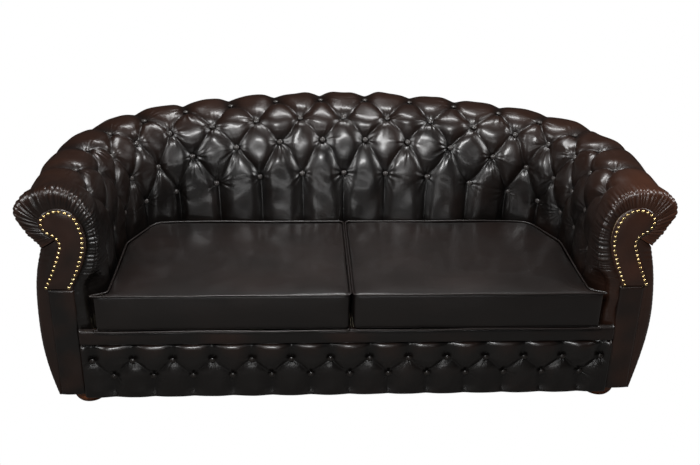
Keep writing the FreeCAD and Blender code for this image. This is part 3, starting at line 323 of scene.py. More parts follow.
def leather(name, dark, brown, rub_and_painted_light, rough=0.28, grain=1.0):
    """Antique leather: near black with painted shade in the folds, rubbed brown on the crowns, with a
    pebbled grain.

    One mesh attribute says how much brown wear a point shows, with a painted sheen on the cushion tops and
    painted light on the gathers in it, and the other how dark the painted shade lies in a crease or on a
    shaded arm-front band."""
    material, nodes, links, shader = new_material(name)
    wear_and_painted_light = nodes.new("ShaderNodeAttribute")
    wear_and_painted_light.attribute_name = "rub_and_painted_light"
    painted_shade = nodes.new("ShaderNodeAttribute")
    painted_shade.attribute_name = "painted_shade"
    patches = noise_node(nodes, links, 4.5, 4.0, 0.6)
    specks = noise_node(nodes, links, 60.0, 4.0, 0.7)
    # Brown share: wear, with the painted sheen of the cushion tops and the painted light of the gathers in
    # it, over random patches and specks
    share = maths(nodes, links, "MULTIPLY_ADD", patches.outputs["Fac"], 0.55, -0.27)
    share = maths(nodes, links, "ADD", share, wear_and_painted_light.outputs["Fac"])
    share = maths(nodes, links, "MULTIPLY_ADD", specks.outputs["Fac"], 0.16, share)
    share = maths(nodes, links, "MULTIPLY", share, rub_and_painted_light)
    clamp = nodes.new("ShaderNodeClamp")
    links.new(share, clamp.inputs["Value"])
    color = mix_colors(nodes, links, clamp.outputs[0], dark, brown)
    # Painted shade: the colour goes towards a quarter of the dark tone where the mesh marks a crease or a
    # shaded band
    color = mix_colors(nodes, links, painted_shade.outputs["Fac"], color, tuple(0.25 * value for value in dark))
    links.new(color, shader.inputs["Base Color"])
    roughness = maths(nodes, links, "MULTIPLY_ADD", specks.outputs["Fac"], 0.16, rough - 0.08)
    roughness = maths(nodes, links, "MULTIPLY_ADD", patches.outputs["Fac"], 0.14, roughness)
    links.new(roughness, shader.inputs["Roughness"])
    shader.inputs["Coat Weight"].default_value = 0.35
    shader.inputs["Coat Roughness"].default_value = 0.16
    coordinates = nodes.new("ShaderNodeTexCoord")
    pebbles = nodes.new("ShaderNodeTexVoronoi")
    pebbles.feature = "DISTANCE_TO_EDGE"
    pebbles.inputs["Scale"].default_value = 420.0
    warp = noise_node(nodes, links, 35.0, 2.0)
    shift = nodes.new("ShaderNodeVectorMath")
    shift.operation = "MULTIPLY_ADD"
    shift.inputs[1].default_value = (0.006, 0.006, 0.006)
    links.new(warp.outputs["Color"], shift.inputs[0])
    links.new(coordinates.outputs["Object"], shift.inputs[2])
    links.new(shift.outputs[0], pebbles.inputs["Vector"])
    edge = maths(nodes, links, "MINIMUM", pebbles.outputs["Distance"], 0.25)
    creases = noise_node(nodes, links, 22.0, 5.0, 0.62)
    height = maths(nodes, links, "MULTIPLY_ADD", creases.outputs["Fac"], 1.4, edge)
    bump = nodes.new("ShaderNodeBump")
    bump.inputs["Strength"].default_value = 0.22 * grain
    bump.inputs["Distance"].default_value = 0.0012
    links.new(height, bump.inputs["Height"])
    links.new(bump.outputs["Normal"], shader.inputs["Normal"])
    return material


def mottled(name, first, second, scale, rough, metallic=0.0, bump_height=0.0, stretch=(1, 1, 1)):
    """Matte or metal material whose colour wanders between two shades."""
    material, nodes, links, shader = new_material(name)
    coordinates = nodes.new("ShaderNodeTexCoord")
    mapping = nodes.new("ShaderNodeMapping")
    mapping.inputs["Scale"].default_value = stretch
    links.new(coordinates.outputs["Object"], mapping.inputs["Vector"])
    noise = nodes.new("ShaderNodeTexNoise")
    noise.inputs["Scale"].default_value = scale
    noise.inputs["Detail"].default_value = 5.0
    links.new(mapping.outputs["Vector"], noise.inputs["Vector"])
    ramp = ramp_node(nodes, links, noise.outputs["Fac"], ((0.3, first), (0.7, second)))
    links.new(ramp.outputs["Color"], shader.inputs["Base Color"])
    roughness = maths(nodes, links, "MULTIPLY_ADD", noise.outputs["Fac"], 0.12, rough - 0.06)
    links.new(roughness, shader.inputs["Roughness"])
    shader.inputs["Metallic"].default_value = metallic
    if bump_height:
        bump = nodes.new("ShaderNodeBump")
        bump.inputs["Strength"].default_value = 0.3
        bump.inputs["Distance"].default_value = bump_height
        links.new(noise.outputs["Fac"], bump.inputs["Height"])
        links.new(bump.outputs["Normal"], shader.inputs["Normal"])
    return material


def woven(name, first, second, scale):
    """Cloth whose threads cross: two wave patterns that mix two colours."""
    material, nodes, links, shader = new_material(name)
    coordinates = nodes.new("ShaderNodeTexCoord")
    bands = []
    for axis in ("X", "Y"):
        wave = nodes.new("ShaderNodeTexWave")
        wave.bands_direction = axis
        wave.inputs["Scale"].default_value = scale
        wave.inputs["Distortion"].default_value = 0.4
        links.new(coordinates.outputs["Object"], wave.inputs["Vector"])
        bands.append(wave.outputs["Fac"])
    threads = maths(nodes, links, "MULTIPLY", *bands)
    links.new(mix_colors(nodes, links, threads, first, second), shader.inputs["Base Color"])
    shader.inputs["Roughness"].default_value = 0.9
    return material


BACK_BLACK, BACK_BROWN = (0.0048, 0.0036, 0.0031), (0.062, 0.022, 0.011)
CUSHION_BLACK, CUSHION_BROWN = (0.0062, 0.0044, 0.0038), (0.026, 0.013, 0.010)
FACING_BLACK, FACING_BROWN = (0.0062, 0.0042, 0.0036), (0.050, 0.019, 0.011)
# Painted light: the back's buttons take pale greys as a painted highlight, and the apron's buttons near
# black as painted shade, though both are of the one leather
PAINTED_HIGHLIGHT_BUTTON_GREY, PAINTED_HIGHLIGHT_BUTTON_PALE = (0.045, 0.040, 0.038), (0.16, 0.145, 0.13)
PAINTED_SHADE_BUTTON_BLACK, PAINTED_SHADE_BUTTON_BROWN = (0.008, 0.006, 0.005), (0.040, 0.030, 0.026)

back_leather = leather("antique_leather", BACK_BLACK, BACK_BROWN, rub_and_painted_light=0.72)
cushion_leather = leather("cushion_leather", CUSHION_BLACK, CUSHION_BROWN, rub_and_painted_light=0.8, rough=0.33, grain=0.6)
facing_leather = leather("facing_leather", FACING_BLACK, FACING_BROWN, rub_and_painted_light=0.8)
# Button leathers: pale with a painted highlight for the back, dark with painted shade for the apron
button_leather = leather("button_leather", PAINTED_HIGHLIGHT_BUTTON_GREY, PAINTED_HIGHLIGHT_BUTTON_PALE, rub_and_painted_light=1.0, rough=0.24, grain=0.4)
painted_shade_button_leather = leather("painted_shade_button_leather", PAINTED_SHADE_BUTTON_BLACK, PAINTED_SHADE_BUTTON_BROWN,
                              rub_and_painted_light=1.0, rough=0.26, grain=0.4)
brass = mottled("antique_brass", (0.66, 0.46, 0.18), (0.92, 0.74, 0.40), 40.0, 0.22, metallic=1.0)
foot_wood = mottled("stained_wood", (0.11, 0.028, 0.010), (0.25, 0.080, 0.028), 14.0, 0.32,
                    bump_height=0.0004, stretch=(1, 1, 8))
beech = mottled("beech", (0.52, 0.34, 0.19), (0.68, 0.49, 0.31), 9.0, 0.6,
                bump_height=0.0003, stretch=(1, 7, 7))
plywood = mottled("plywood", (0.50, 0.35, 0.20), (0.72, 0.55, 0.36), 7.0, 0.65,
                  bump_height=0.0003, stretch=(6, 6, 1))
foam = mottled("upholstery_foam", (0.72, 0.64, 0.42), (0.86, 0.80, 0.60), 120.0, 0.9, bump_height=0.0006)
hessian = woven("hessian", (0.30, 0.22, 0.12), (0.62, 0.50, 0.32), 160.0)
cambric = woven("black_cambric", (0.010, 0.010, 0.010), (0.045, 0.045, 0.045), 220.0)
steel = mottled("spring_steel", (0.30, 0.30, 0.31), (0.52, 0.52, 0.53), 60.0, 0.35, metallic=1.0)
dark_plastic = mottled("dark_plastic", (0.020, 0.018, 0.016), (0.050, 0.045, 0.040), 70.0, 0.55)

# The first word that is in a node's name gives its material, and all other nodes are beech

NODE_MATERIALS = (
    ("apron_buttons", painted_shade_button_leather), ("buttons", button_leather), ("dome_nails", brass),
    ("_foot", foot_wood), ("foam", foam), ("pad", foam), ("lining", hessian), ("spring_cover", hessian),
    ("dust_cover", cambric), ("springs", steel), ("bolts", steel), ("clips", dark_plastic),
    ("glides", dark_plastic), ("scroll_board", plywood), ("formers", plywood),
    ("scroll_facing", facing_leather), ("cushion", cushion_leather), ("cover", back_leather),
    ("border", back_leather), ("panel", back_leather),
)
SHARP_ANGLE = math.radians(35)
for name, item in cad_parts.items():
    chosen = [material for word, material in NODE_MATERIALS if word in name]
    item.data.materials.clear()
    item.data.materials.append(chosen[0] if chosen else beech)
    item.data.shade_smooth()
    item.data.set_sharp_from_angle(angle=SHARP_ANGLE)


# Deep diamond tufting

CREASE_POWER = 2.4
DIMPLE_DEPTH = 0.86
DIMPLE_REACH = 0.30
DIMPLE_RISE = 0.33
DIMPLE_POWER = 1.7
WRINKLE_WAVES = 5


def swell(x, power):
    """Rounded rise from 0 at a pleat to 1 in the middle between two pleats."""
    return 1 - (1 - x) ** power


def tuft_field(c, t, first, last, floor_share, power, fades):
    """Share of the tuft depth, and of puff, for columns c and levels t.

    Buttons sit where c + t is even, from level first to last. Pleats run between them on the diagonals and
    straight on beyond the first and last rows, where they fade at the two given rates."""
    inner = np.clip(t, first, last)
    past = np.abs(t - inner)
    x = np.abs((c + inner) / 2 - np.round((c + inner) / 2)) * 2
    y = np.abs((c - inner) / 2 - np.round((c - inner) / 2)) * 2
    puff = swell(x, power) * swell(y, power)
    far = np.minimum((x ** 5 + y ** 5) ** 0.2, 1)
    crease = floor_share + (1 - floor_share) * (1 - far) ** CREASE_POWER
    crease = crease * np.exp(-np.where(t < first, fades[0], fades[1]) * past)
    dimple = np.exp(-(far / DIMPLE_REACH) ** DIMPLE_POWER - (past / DIMPLE_RISE) ** DIMPLE_POWER)
    return np.maximum(crease * (1 - puff), DIMPLE_DEPTH * dimple), puff * (1 - 0.5 * dimple)


def button_places(first, last, half_columns):
    """Columns and levels of the buttons."""
    columns = range(-half_columns, half_columns + 1)
    return [(c, t) for t in range(first, last + 1) for c in columns if (c + t) % 2 == 0]


def radial_wrinkles(points, c, t, buttons, centres, reach, row_length, seed):
    """Small gathers that fan out from each button."""
    total = np.zeros(len(points))
    rng = np.random.default_rng(seed)
    for (column, level), centre in zip(buttons, centres):
        counts = rng.integers(6, 23, WRINKLE_WAVES)
        phases = rng.uniform(0, 2 * math.pi, WRINKLE_WAVES)
        strengths = rng.uniform(0.35, 1.0, WRINKLE_WAVES)
        lean_way = rng.uniform(0, 2 * math.pi)
        near = np.nonzero((np.abs(c - column) < 1.1) & (np.abs(t - level) < 1.0))[0]
        distance = np.linalg.norm(points[near] - centre, axis=1)
        angle = np.arctan2((t[near] - level) * row_length, (c[near] - column) * HALF_PITCH)
        ripple = sum(s * np.sin(n * angle + p) for n, p, s in zip(counts, phases, strengths)) / 1.6
        local_reach = reach * (1 + 0.35 * np.cos(angle - lean_way))
        fade = smooth(6, 15, distance) * np.exp(-(distance / local_reach) ** 1.8)
        total[near] += ripple * fade * (0.75 + 0.35 * np.cos(angle + math.pi / 2))
    return total


# The tufted leather of arms and back, one skin that rolls over the arm fronts to the nail lines

SKIN_STEP = 3.4
SECTION_STEPS = 801
SECTION_STATION = 600.0
TUFT_FIRST = 2
TUFT_LAST = 5
TUFT_FLOOR = 0.46
TUFT_POWER = 3.4
TUFT_FADES = (0.22, 0.9)
TUFT_WANDER = 0.06
TUFT_ROW_LENGTH = 95.0
WRINKLE_REACH = 35.0
WRINKLE_HEIGHT = 2.3
ROLL_STEPS = 7
BAND_STEPS = 12
BAND_COLUMNS = ROLL_STEPS + BAND_STEPS
BAND_FRONT = FACE_Y + 1.0
FACING_TUCK = 7.0
GATHER_PITCH = 13.0
GATHER_FOLD = 31.0
GATHER_DEPTH = 1.9
GATHER_REACH = 27.0
GATHER_SHARE_AT_LEVEL = ([0.8, 1.6, 2.4, 7.6, 8.0], [0.12, 0.3, 1.0, 1.0, 0.4])
NAIL_SHARE_AT_LEVEL = ([0, 1, 2, 3, 4, 5, 6, 7, 8], [0, 0, 0.55, 1.35, 2.02, 2.4, 2.85, 3.15, 4.25])

nails = nail_curve()
facing_edge = offset_curve(nails, FACING_TUCK)


def gathers(run, strength, seed):
    """Irregular pleats across a rolled edge, by the length run along it."""
    shift = 3.0 * waves(run[:, None], 60, seed, 8)
    fine = (0.5 + 0.5 * np.cos(2 * math.pi * (run + shift) / GATHER_PITCH)) ** 1.5
    coarse = np.sin(2 * math.pi * (run + 2 * shift) / GATHER_FOLD)
    return strength * (0.4 - 2.2 * fine + 0.4 * coarse)


def band_points(side, outer, inner, rolled):
    """Rows of points from the arm's surface over a rolled edge to the facing, for one perimeter.

    outer and inner are pairs of distance outward and height. rolled is how far the front plane stands
    before the start of the roll."""
    span = inner - outer
    width = np.linalg.norm(span, axis=1, keepdims=True)
    way = span / np.maximum(width, 1e-6)
    radius = np.minimum(rolled, 0.45 * width)
    rows = []
    for step in range(1, ROLL_STEPS + 1):
        angle = math.pi / 2 * step / ROLL_STEPS
        flat = outer + way * radius * (1 - math.cos(angle))
        rows.append((flat, np.full(len(outer), BAND_FRONT + rolled * (1 - math.sin(angle)))))
    for step in range(1, BAND_STEPS + 1):
        share = step / BAND_STEPS
        flat = outer + way * (radius + (width - radius) * share)
        depth = BAND_FRONT + 1.2 * share ** 3 - 2.0 * math.sin(math.pi * share)
        rows.append((flat, np.full(len(outer), depth)))
    return [np.stack([side * (SIDE_X + flat[:, 0]), depth, flat[:, 1]], axis=-1) for flat, depth in rows]


def lengths(points):
    """Length run along a polyline at each of its points."""
    return np.concatenate([[0], np.cumsum(np.linalg.norm(np.diff(points, axis=0), axis=1))])


def add_bands(points, s, outer, inner):
    """Grid with the bands over the two arm fronts added: points, stations, columns past the rolled edge."""
    rolled = FRONT - ROLL_START - (BAND_FRONT - FACE_Y)
    bands = {side: np.stack(band_points(side, outer, inner, rolled), axis=1) for side in (-1, 1)}
    points = np.concatenate([bands[-1][:, ::-1], points, bands[1]], axis=1)
    stations = np.concatenate([np.full(BAND_COLUMNS, -ROLL_START), s, np.full(BAND_COLUMNS, ROLL_START)])
    steps = np.arange(1, BAND_COLUMNS + 1)
    past = np.concatenate([steps[::-1], np.zeros(len(s)), steps])
    return points, stations, past


def body_grid():
    """Grid of the skin before any tufting: points, levels, stations, columns past the rolled edge, and the
    length run along that edge."""
    s = np.linspace(-ROLL_START, ROLL_START, int(2 * ROLL_START / SKIN_STEP))
    dense = np.linspace(0, 8, SECTION_STEPS)
    run = lengths(np.stack(crown(np.full(SECTION_STEPS, SECTION_STATION), dense), axis=-1))
    t = np.interp(np.linspace(0, run[-1], int(run[-1] / SKIN_STEP)), run, dense)
    big_t, big_s = np.meshgrid(t, s, indexing="ij")
    out, height = crown(big_s.ravel(), big_t.ravel())
    points = place(big_s.ravel(), out, height).reshape(len(t), len(s), 3)
    share = np.interp(t, *NAIL_SHARE_AT_LEVEL) / 6
    inner = along(facing_edge, share)
    low = t < 1
    end_out, end_height = crown(np.full(len(t), ROLL_START), t)
    inner[low, 0] = facing_edge[0, 0]
    inner[low, 1] = end_height[low]
    outer = np.stack([end_out, end_height], axis=-1)
    points, stations, past = add_bands(points, s, outer, inner)
    return points, t, stations, past, lengths(outer)


def body_cover():
    """Tufted leather with its pleats, wrinkles and gathers pushed in along the skin's normals."""
    points, t, s, past, edge_run = body_grid()
    rows, columns = points.shape[:2]
    normals = skin_normals(points).reshape(-1, 3)
    flat = points.reshape(-1, 3)
    c = np.tile(s / HALF_PITCH, rows)
    level = np.repeat(t, columns)
    on_arm = np.tile(past == 0, rows)
    wander = TUFT_WANDER * np.sin(math.pi * c) * waves(flat, 190, 3)
    depth, puff = tuft_field(c + wander, level, TUFT_FIRST, TUFT_LAST, TUFT_FLOOR, TUFT_POWER, TUFT_FADES)
    inside = 1 - smooth(LAST_COLUMN, LAST_COLUMN + 0.55, np.abs(c))
    depth = depth * inside
    puff = 1 - (1 - puff) * inside
    buttons = button_places(TUFT_FIRST, TUFT_LAST, LAST_COLUMN)
    places = np.array(buttons, float)
    out, height = crown(places[:, 0] * HALF_PITCH, places[:, 1])
    centres = place(places[:, 0] * HALF_PITCH, out, height)
    ripples = radial_wrinkles(flat, c, level, buttons, centres, WRINKLE_REACH, TUFT_ROW_LENGTH, 7) * on_arm
    swelling = 2.4 * waves(flat, 230, 11) + 1.1 * waves(flat, 75, 12)
    move = -TUFT_DEPTH * depth + WRINKLE_HEIGHT * ripples + puff * swelling * (1 - 0.5 * depth)
    edge_share = np.interp(level, *GATHER_SHARE_AT_LEVEL)
    from_edge = np.tile(ROLL_START - np.abs(s), rows)
    reach = np.where(on_arm, np.exp(-(from_edge / GATHER_REACH) ** 1.5), 1.0)
    band = np.tile(past, rows) / BAND_COLUMNS
    reach = reach * (1 - 0.55 * smooth(0.5, 1.0, band))
    pleats = np.zeros(len(flat))
    for side, seed in ((-1, 21), (1, 22)):
        ours = np.sign(np.tile(s, rows)) == side
        pleats += ours * np.repeat(gathers(edge_run, GATHER_DEPTH, seed), columns)
    move += pleats * reach * edge_share
    flat = flat + normals * move[:, None]
    x, y = flat[:, 0], flat[:, 1]
    wear_and_painted_light = 0.14 + 0.26 * smooth(3.6, 5.4, level) * puff
    wear_and_painted_light += 0.20 * smooth(600, 1300, x) * smooth(2.5, 5, level)
    wear_and_painted_light += 1.1 * smooth(720, 960, x) * smooth(-150, -420, y)
    wear_and_painted_light -= 0.20 * smooth(4.5, 2.0, level)
    # Painted light on the gathers: lighter on their ridges, where the leather is also rubbed, and darker in
    # their troughs as painted shade
    wear_and_painted_light += 0.06 * pleats * reach * edge_share
    # Painted shade: colour darkened deep in the tuft creases, and across the bands on the arm fronts that
    # face away from the light, more on the left arm than on the right
    painted_shade = np.clip(depth * 1.1 - 0.25, 0, 0.9)
    shaded = np.where(on_arm, 0, smooth(0.15, 0.6, band)) * edge_share
    painted_shade = np.maximum(painted_shade, np.where(x < 0, 0.6, 0.25) * shaded)
    return new_object("tufted_leather", flat, grid_faces(rows, columns), back_leather, wear_and_painted_light, painted_shade)


tufted = body_cover()
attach(tufted, "sofa")
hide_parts("left_arm_tufted_cover", "back_tufted_cover", "right_arm_tufted_cover")


# Plain leather outside the roll, from under its neck down to the base, with its own part of the front bands

PANEL_IN = -52.0
PANEL_OUT = 30.0
PANEL_TOP = SEAT - 0.5
OUTSIDE_STATIONS = 420
OUTSIDE_ROWS = 110
OUTSIDE_BULGE = 74.0
OUTSIDE_FOOT = 40.0
OUTSIDE_BULGE_RISE = 0.58
OUTSIDE_ARC_STEPS = 41
OUTSIDE_GATHER_DEPTH = 0.8
OUTSIDE_GATHER_REACH = 18.0


def outside_point(s, u):
    """Point at share u down the outside cover: an arc through its top, its fullest point and its foot."""
    out, height = crown(s, np.full(len(s), 8.0))
    top_out, neck_height = out - 3, height - 2
    full_height = BASE + OUTSIDE_BULGE_RISE * (height - BASE)
    points = []
    for i in range(len(s)):
        neck, fullest = (top_out[i], neck_height[i]), (OUTSIDE_BULGE, full_height[i])
        arc = arc_points(neck, fullest, (OUTSIDE_FOOT, BASE), OUTSIDE_ARC_STEPS)
        points.append(along(arc, u))
    return np.stack(points, axis=1)


def outside_cover():
    """Outside leather with slight waves, gathered a little where it turns round the arm fronts."""
    s = np.linspace(-ROLL_START, ROLL_START, OUTSIDE_STATIONS)
    u = np.linspace(0, 1, OUTSIDE_ROWS)
    profile = outside_point(s, u)
    big_s = np.tile(s, len(u))
    points = place(big_s, profile[..., 0].ravel(), profile[..., 1].ravel()).reshape(len(u), len(s), 3)
    outer = profile[:, -1]
    share = np.interp(-outer[:, 1], [-outer[0, 1], -560, -SEAT, -BASE], [4.3, 5.0, 6.0, 6.0]) / 6
    inner = along(facing_edge, share)
    low = outer[:, 1] < SEAT + 6
    inner[low] = np.stack([np.full(low.sum(), PANEL_OUT - 2), outer[low, 1]], axis=-1)
    points, stations, past = add_bands(points, s, outer, inner)
    rows, columns = points.shape[:2]
    flat = points.reshape(-1, 3)
    normals = skin_normals(points).reshape(-1, 3)
    from_edge = np.tile(ROLL_START - np.abs(stations), rows)
    reach = np.where(np.tile(past == 0, rows), np.exp(-(from_edge / OUTSIDE_GATHER_REACH) ** 1.5), 1.0)
    band = np.tile(past, rows) / BAND_COLUMNS
    fine = np.repeat(gathers(lengths(outer), OUTSIDE_GATHER_DEPTH, 31), columns) * reach
    fine *= 1 - 0.6 * smooth(0.5, 1, band)
    fine *= np.repeat(1 - 0.7 * smooth(560, 440, outer[:, 1]), columns)
    move = 1.6 * waves(flat, 260, 33) + fine
    wear_and_painted_light = 0.12 + 0.05 * waves(flat, 300, 34) + 0.35 * (flat[:, 0] > 0)
    flat = flat + normals * move[:, None]
    return new_object("outside_leather", flat, grid_faces(rows, columns), back_leather, wear_and_painted_light, 0 * wear_and_painted_light)


outside = outside_cover()
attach(outside, "sofa")
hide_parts("left_arm_outer_cover", "back_outer_cover", "right_arm_outer_cover",
            "left_scroll_border", "right_scroll_border")


# Nailed facings, padded, and the plain panels on the posts under them

FACING_REACH = 10.4
FACING_MESH = 3.0
FACING_RIM = 8.0
FACING_BACK = 1.5
FACING_ROLL = 6.5
FACING_CROWN = 5.0
FACING_CROWN_RUN = 13.0
PANEL_RIM = 9.0
PANEL_BACK = 3.5
PANEL_ROLL = 9.5
PANEL_CROWN = 3.0


def facing(side, name):
    """Padded facing inside an outline that stands a little past the nails."""
    edge = offset_curve(nails, FACING_REACH)
    edge[0, 1] = edge[-1, 1] = SEAT - 2
    bottom = np.linspace(edge[-1], edge[0], 30)[1:-1]
    outline = np.concatenate([edge[::2], bottom])
    low, high = outline.min(axis=0), outline.max(axis=0)
    across, up = np.arange(low[0], high[0], FACING_MESH), np.arange(low[1], high[1], FACING_MESH)
    grid = np.stack(np.meshgrid(across, up), axis=-1).reshape(-1, 2)
    gaps = np.linalg.norm(grid[:, None] - outline[None], axis=2).min(axis=1)
    kept = grid[gaps > 2.5]
    count = len(outline)
    loop = [(i, (i + 1) % count) for i in range(count)]
    inputs = [Vector(point) for point in np.concatenate([outline, kept])]
    found = delaunay_2d_cdt(inputs, loop, [list(range(count))], 1, 1e-5)
    flat = np.array([tuple(p) for p in found[0]])
    depth = np.linalg.norm(flat[:, None] - outline[None], axis=2).min(axis=1)
    rim = np.clip(depth / FACING_RIM, 0, 1)
    crowned = 1 - np.exp(-np.maximum(depth - FACING_RIM, 0) / FACING_CROWN_RUN)
    front = FACING_BACK - FACING_ROLL * np.sqrt(1 - (1 - rim) ** 2) - FACING_CROWN * crowned
    points = np.stack([side * (SIDE_X + flat[:, 0]), FACE_Y + front, flat[:, 1]], axis=-1)
    points[:, 1] += 0.7 * waves(points, 60, 41 + side) * rim
    faces = [list(face)[::-1] if side > 0 else list(face) for face in found[2]]
    wear_and_painted_light = (0.75 if side > 0 else 0.38) + 0.15 * waves(points, 90, 43)
    item = new_object(name + "_facing_leather", points, faces, facing_leather, wear_and_painted_light, 0 * wear_and_painted_light)
    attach(item, "sofa")
    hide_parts(name + "_scroll_facing")


def post_panel(side, name):
    """Padded panel with a rounded rim on the front of an arm's post."""
    u, z = np.meshgrid(np.linspace(-1, 1, 49), np.linspace(BASE, PANEL_TOP, 180))
    half = (PANEL_OUT - PANEL_IN) / 2
    out = (PANEL_OUT + PANEL_IN) / 2 + half * u
    ends = np.minimum((PANEL_TOP - z) / PANEL_RIM, (z - BASE) / PANEL_RIM)
    nearest = np.clip(np.minimum((1 - np.abs(u)) * half / PANEL_RIM, ends), 0, 1)
    rim = np.sqrt(np.clip(1 - (1 - nearest) ** 2, 0, 1))
    front = FACE_Y + PANEL_BACK - PANEL_ROLL * rim - PANEL_CROWN * (1 - u ** 2)
    points = np.stack([side * (SIDE_X + out), front, z], axis=-1)
    flat = points.reshape(-1, 3)
    flat[:, 1] += 0.8 * waves(flat, 80, 51 + side) * rim.ravel()
    wear_and_painted_light = (0.26 if side > 0 else -0.05) + 0.12 * waves(flat, 120, 53)
    faces = grid_faces(*u.shape, flip=side < 0)
    item = new_object(name + "_post_leather", flat, faces, back_leather, wear_and_painted_light, 0 * wear_and_painted_light)
    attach(item, "sofa")
    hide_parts(name + "_post_panel")


for side_name, side_sign in (("left", -1), ("right", 1)):
    facing(side_sign, side_name)
    post_panel(side_sign, side_name)


# Tufted apron and the border strip above it

APRON_HALF = SIDE_X + PANEL_IN - 0.3
APRON_TOP = BASE + 195.0
APRON_FRONT = FACE_Y - 28.0
APRON_DEPTH = 15.0
APRON_STEP = 63.0
APRON_FLOOR = 0.66
APRON_POWER = 2.4
APRON_FADES = (0.12, 0.12)
APRON_ROW_LENGTH = 58.0
APRON_WRINKLE_REACH = 20.0
APRON_WRINKLE_HEIGHT = 2.0
APRON_LAST = 13
APRON_COLUMNS = 640
APRON_HEIGHTS = 76
STRIP_GAP = 0.5
STRIP_SETBACK = 4.0
STRIP_CROWN = 2.5
STRIP_COLUMNS = 420
STRIP_HEIGHTS = 26
APRON_LEVELS = ([BASE, BASE + 81, BASE + 139, APRON_TOP], [0.6, 2, 3, 4.2])


def rolled_edge(gap, radius):
    """How far a rounded edge falls back at a distance from the edge."""
    return radius - np.sqrt(radius ** 2 - (radius - np.clip(gap, 0, radius)) ** 2)


def apron():
    """Tufted apron with two rows of buttons and rounded edges."""
    across = np.linspace(-APRON_HALF, APRON_HALF, APRON_COLUMNS)
    x, z = np.meshgrid(across, np.linspace(BASE, APRON_TOP, APRON_HEIGHTS))
    x, z = x.ravel(), z.ravel()
    c = x / APRON_STEP
    t = np.interp(z, *APRON_LEVELS)
    start = np.stack([x, np.full(len(x), APRON_FRONT), z], axis=-1)
    wander = 0.05 * np.sin(math.pi * c) * waves(start, 150, 61)
    depth, puff = tuft_field(c + wander, t, 2, 3, APRON_FLOOR, APRON_POWER, APRON_FADES)
    inside = 1 - smooth(APRON_LAST, APRON_LAST + 0.45, np.abs(c))
    depth = depth * inside
    buttons = [(column, 2 + column % 2) for column in range(-APRON_LAST, APRON_LAST + 1)]
    heights = np.interp([level for _, level in buttons], APRON_LEVELS[1], APRON_LEVELS[0])
    sideways = [column * APRON_STEP for column, _ in buttons]
    centres = np.stack([sideways, np.full(len(buttons), APRON_FRONT), heights], axis=-1)
    ripples = radial_wrinkles(start, c, t, buttons, centres, APRON_WRINKLE_REACH, APRON_ROW_LENGTH, 63)
    relief = 0.3 + 0.7 * smooth(BASE, BASE + 32, z)
    depth, puff = depth * relief, puff * relief
    back = APRON_DEPTH * depth - APRON_WRINKLE_HEIGHT * ripples
    back -= puff * (1.4 * waves(start, 110, 65) + 3)
    ends = rolled_edge(APRON_HALF - np.abs(x), 9)
    back += rolled_edge(APRON_TOP - z, 16) + rolled_edge(z - BASE, 9) + ends
    points = np.stack([x, APRON_FRONT + back, z], axis=-1)
    wear_and_painted_light = 0.20 * puff * smooth(APRON_TOP - 60, APRON_TOP, z) - 0.10
    # Painted shade: colour darkened deep in the apron's creases
    painted_shade = np.clip(depth - 0.25, 0, 0.9)
    faces = grid_faces(APRON_HEIGHTS, APRON_COLUMNS)
    item = new_object("apron_leather", points, faces, back_leather, wear_and_painted_light, painted_shade)
    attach(item, "sofa")
    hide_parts("apron_tufted_cover")


def border_strip():
    """Plain strip between the apron and the cushions, slightly rounded."""
    across = np.linspace(-APRON_HALF, APRON_HALF, STRIP_COLUMNS)
    x, v = np.meshgrid(across, np.linspace(0, 1, STRIP_HEIGHTS))
    x, v = x.ravel(), v.ravel()
    bottom, top = APRON_TOP + STRIP_GAP, CUSHION_BOTTOM - STRIP_GAP
    z = bottom + (top - bottom) * v
    back = rolled_edge(z - bottom, 9) + rolled_edge(top - z, 12) + rolled_edge(APRON_HALF - np.abs(x), 6)
    front = APRON_FRONT + STRIP_SETBACK + back - STRIP_CROWN * np.sin(math.pi * v)
    points = np.stack([x, front, z], axis=-1)
    points[:, 1] += 1.0 * waves(points, 160, 71) * np.sin(math.pi * v)
    wear_and_painted_light = 0.08 * waves(points, 200, 73) - 0.05
    faces = grid_faces(STRIP_HEIGHTS, STRIP_COLUMNS)
    item = new_object("border_strip_leather", points, faces, back_leather, wear_and_painted_light, 0 * wear_and_painted_light)
    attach(item, "sofa")
    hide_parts("border_strip")


apron()
border_strip()


# Loose seat cushions

SIDE_GAP = 14.0
CUSHION_X = SIDE_X - ARM_INSET - SIDE_GAP
CUSHION_FRONT = -470.0
CUSHION_BACK = BACK_Y - BACK_INSET - SIDE_GAP
CUSHION_FLARE = 65.0
HALF_GAP = 0.5
PIPING_RADIUS = 3.0
PIPING_SIDES = 12
FLARE_BACK = FACE_Y - 12.0
SEAMS = (CUSHION_BOTTOM + 5, SEAT - 5)
SEAM_MESH = 8.0
PIPING_MESH = 6.0
CORNER_STEPS = 9
VOXEL, QUICK_VOXEL = 0.0085, 0.016
STUFFING_FRAMES = 20
STUFFING_PRESSURE = 4.0
MOST_STUFFED = 0.024


def cushion_plan(inset):
    """Corners of a right-hand cushion's outline with their roundings."""
    rear = CORNER_RADIUS - ARM_INSET - SIDE_GAP
    front = CUSHION_FRONT + inset
    side_in = CUSHION_X - inset
    step = max(FLARE_BACK - inset, front + 8)
    flare = max(CUSHION_FLARE * (1 - inset / 40), 3)
    corner_x = CORNER_X + rear * math.sin(math.pi / 4) - 0.7 * inset
    corner_y = CORNER_Y + rear * math.cos(math.pi / 4) - 0.7 * inset
    back = CUSHION_BACK - inset
    return (
        ((HALF_GAP + inset, front), 16),
        ((side_in + flare + 8, front), 4),
        ((side_in, step), 24),
        ((side_in, CORNER_Y), 60),
        ((corner_x, corner_y), 60),
        ((CORNER_X + 90, back), 60),
        ((HALF_GAP + inset, back), 16),
    )


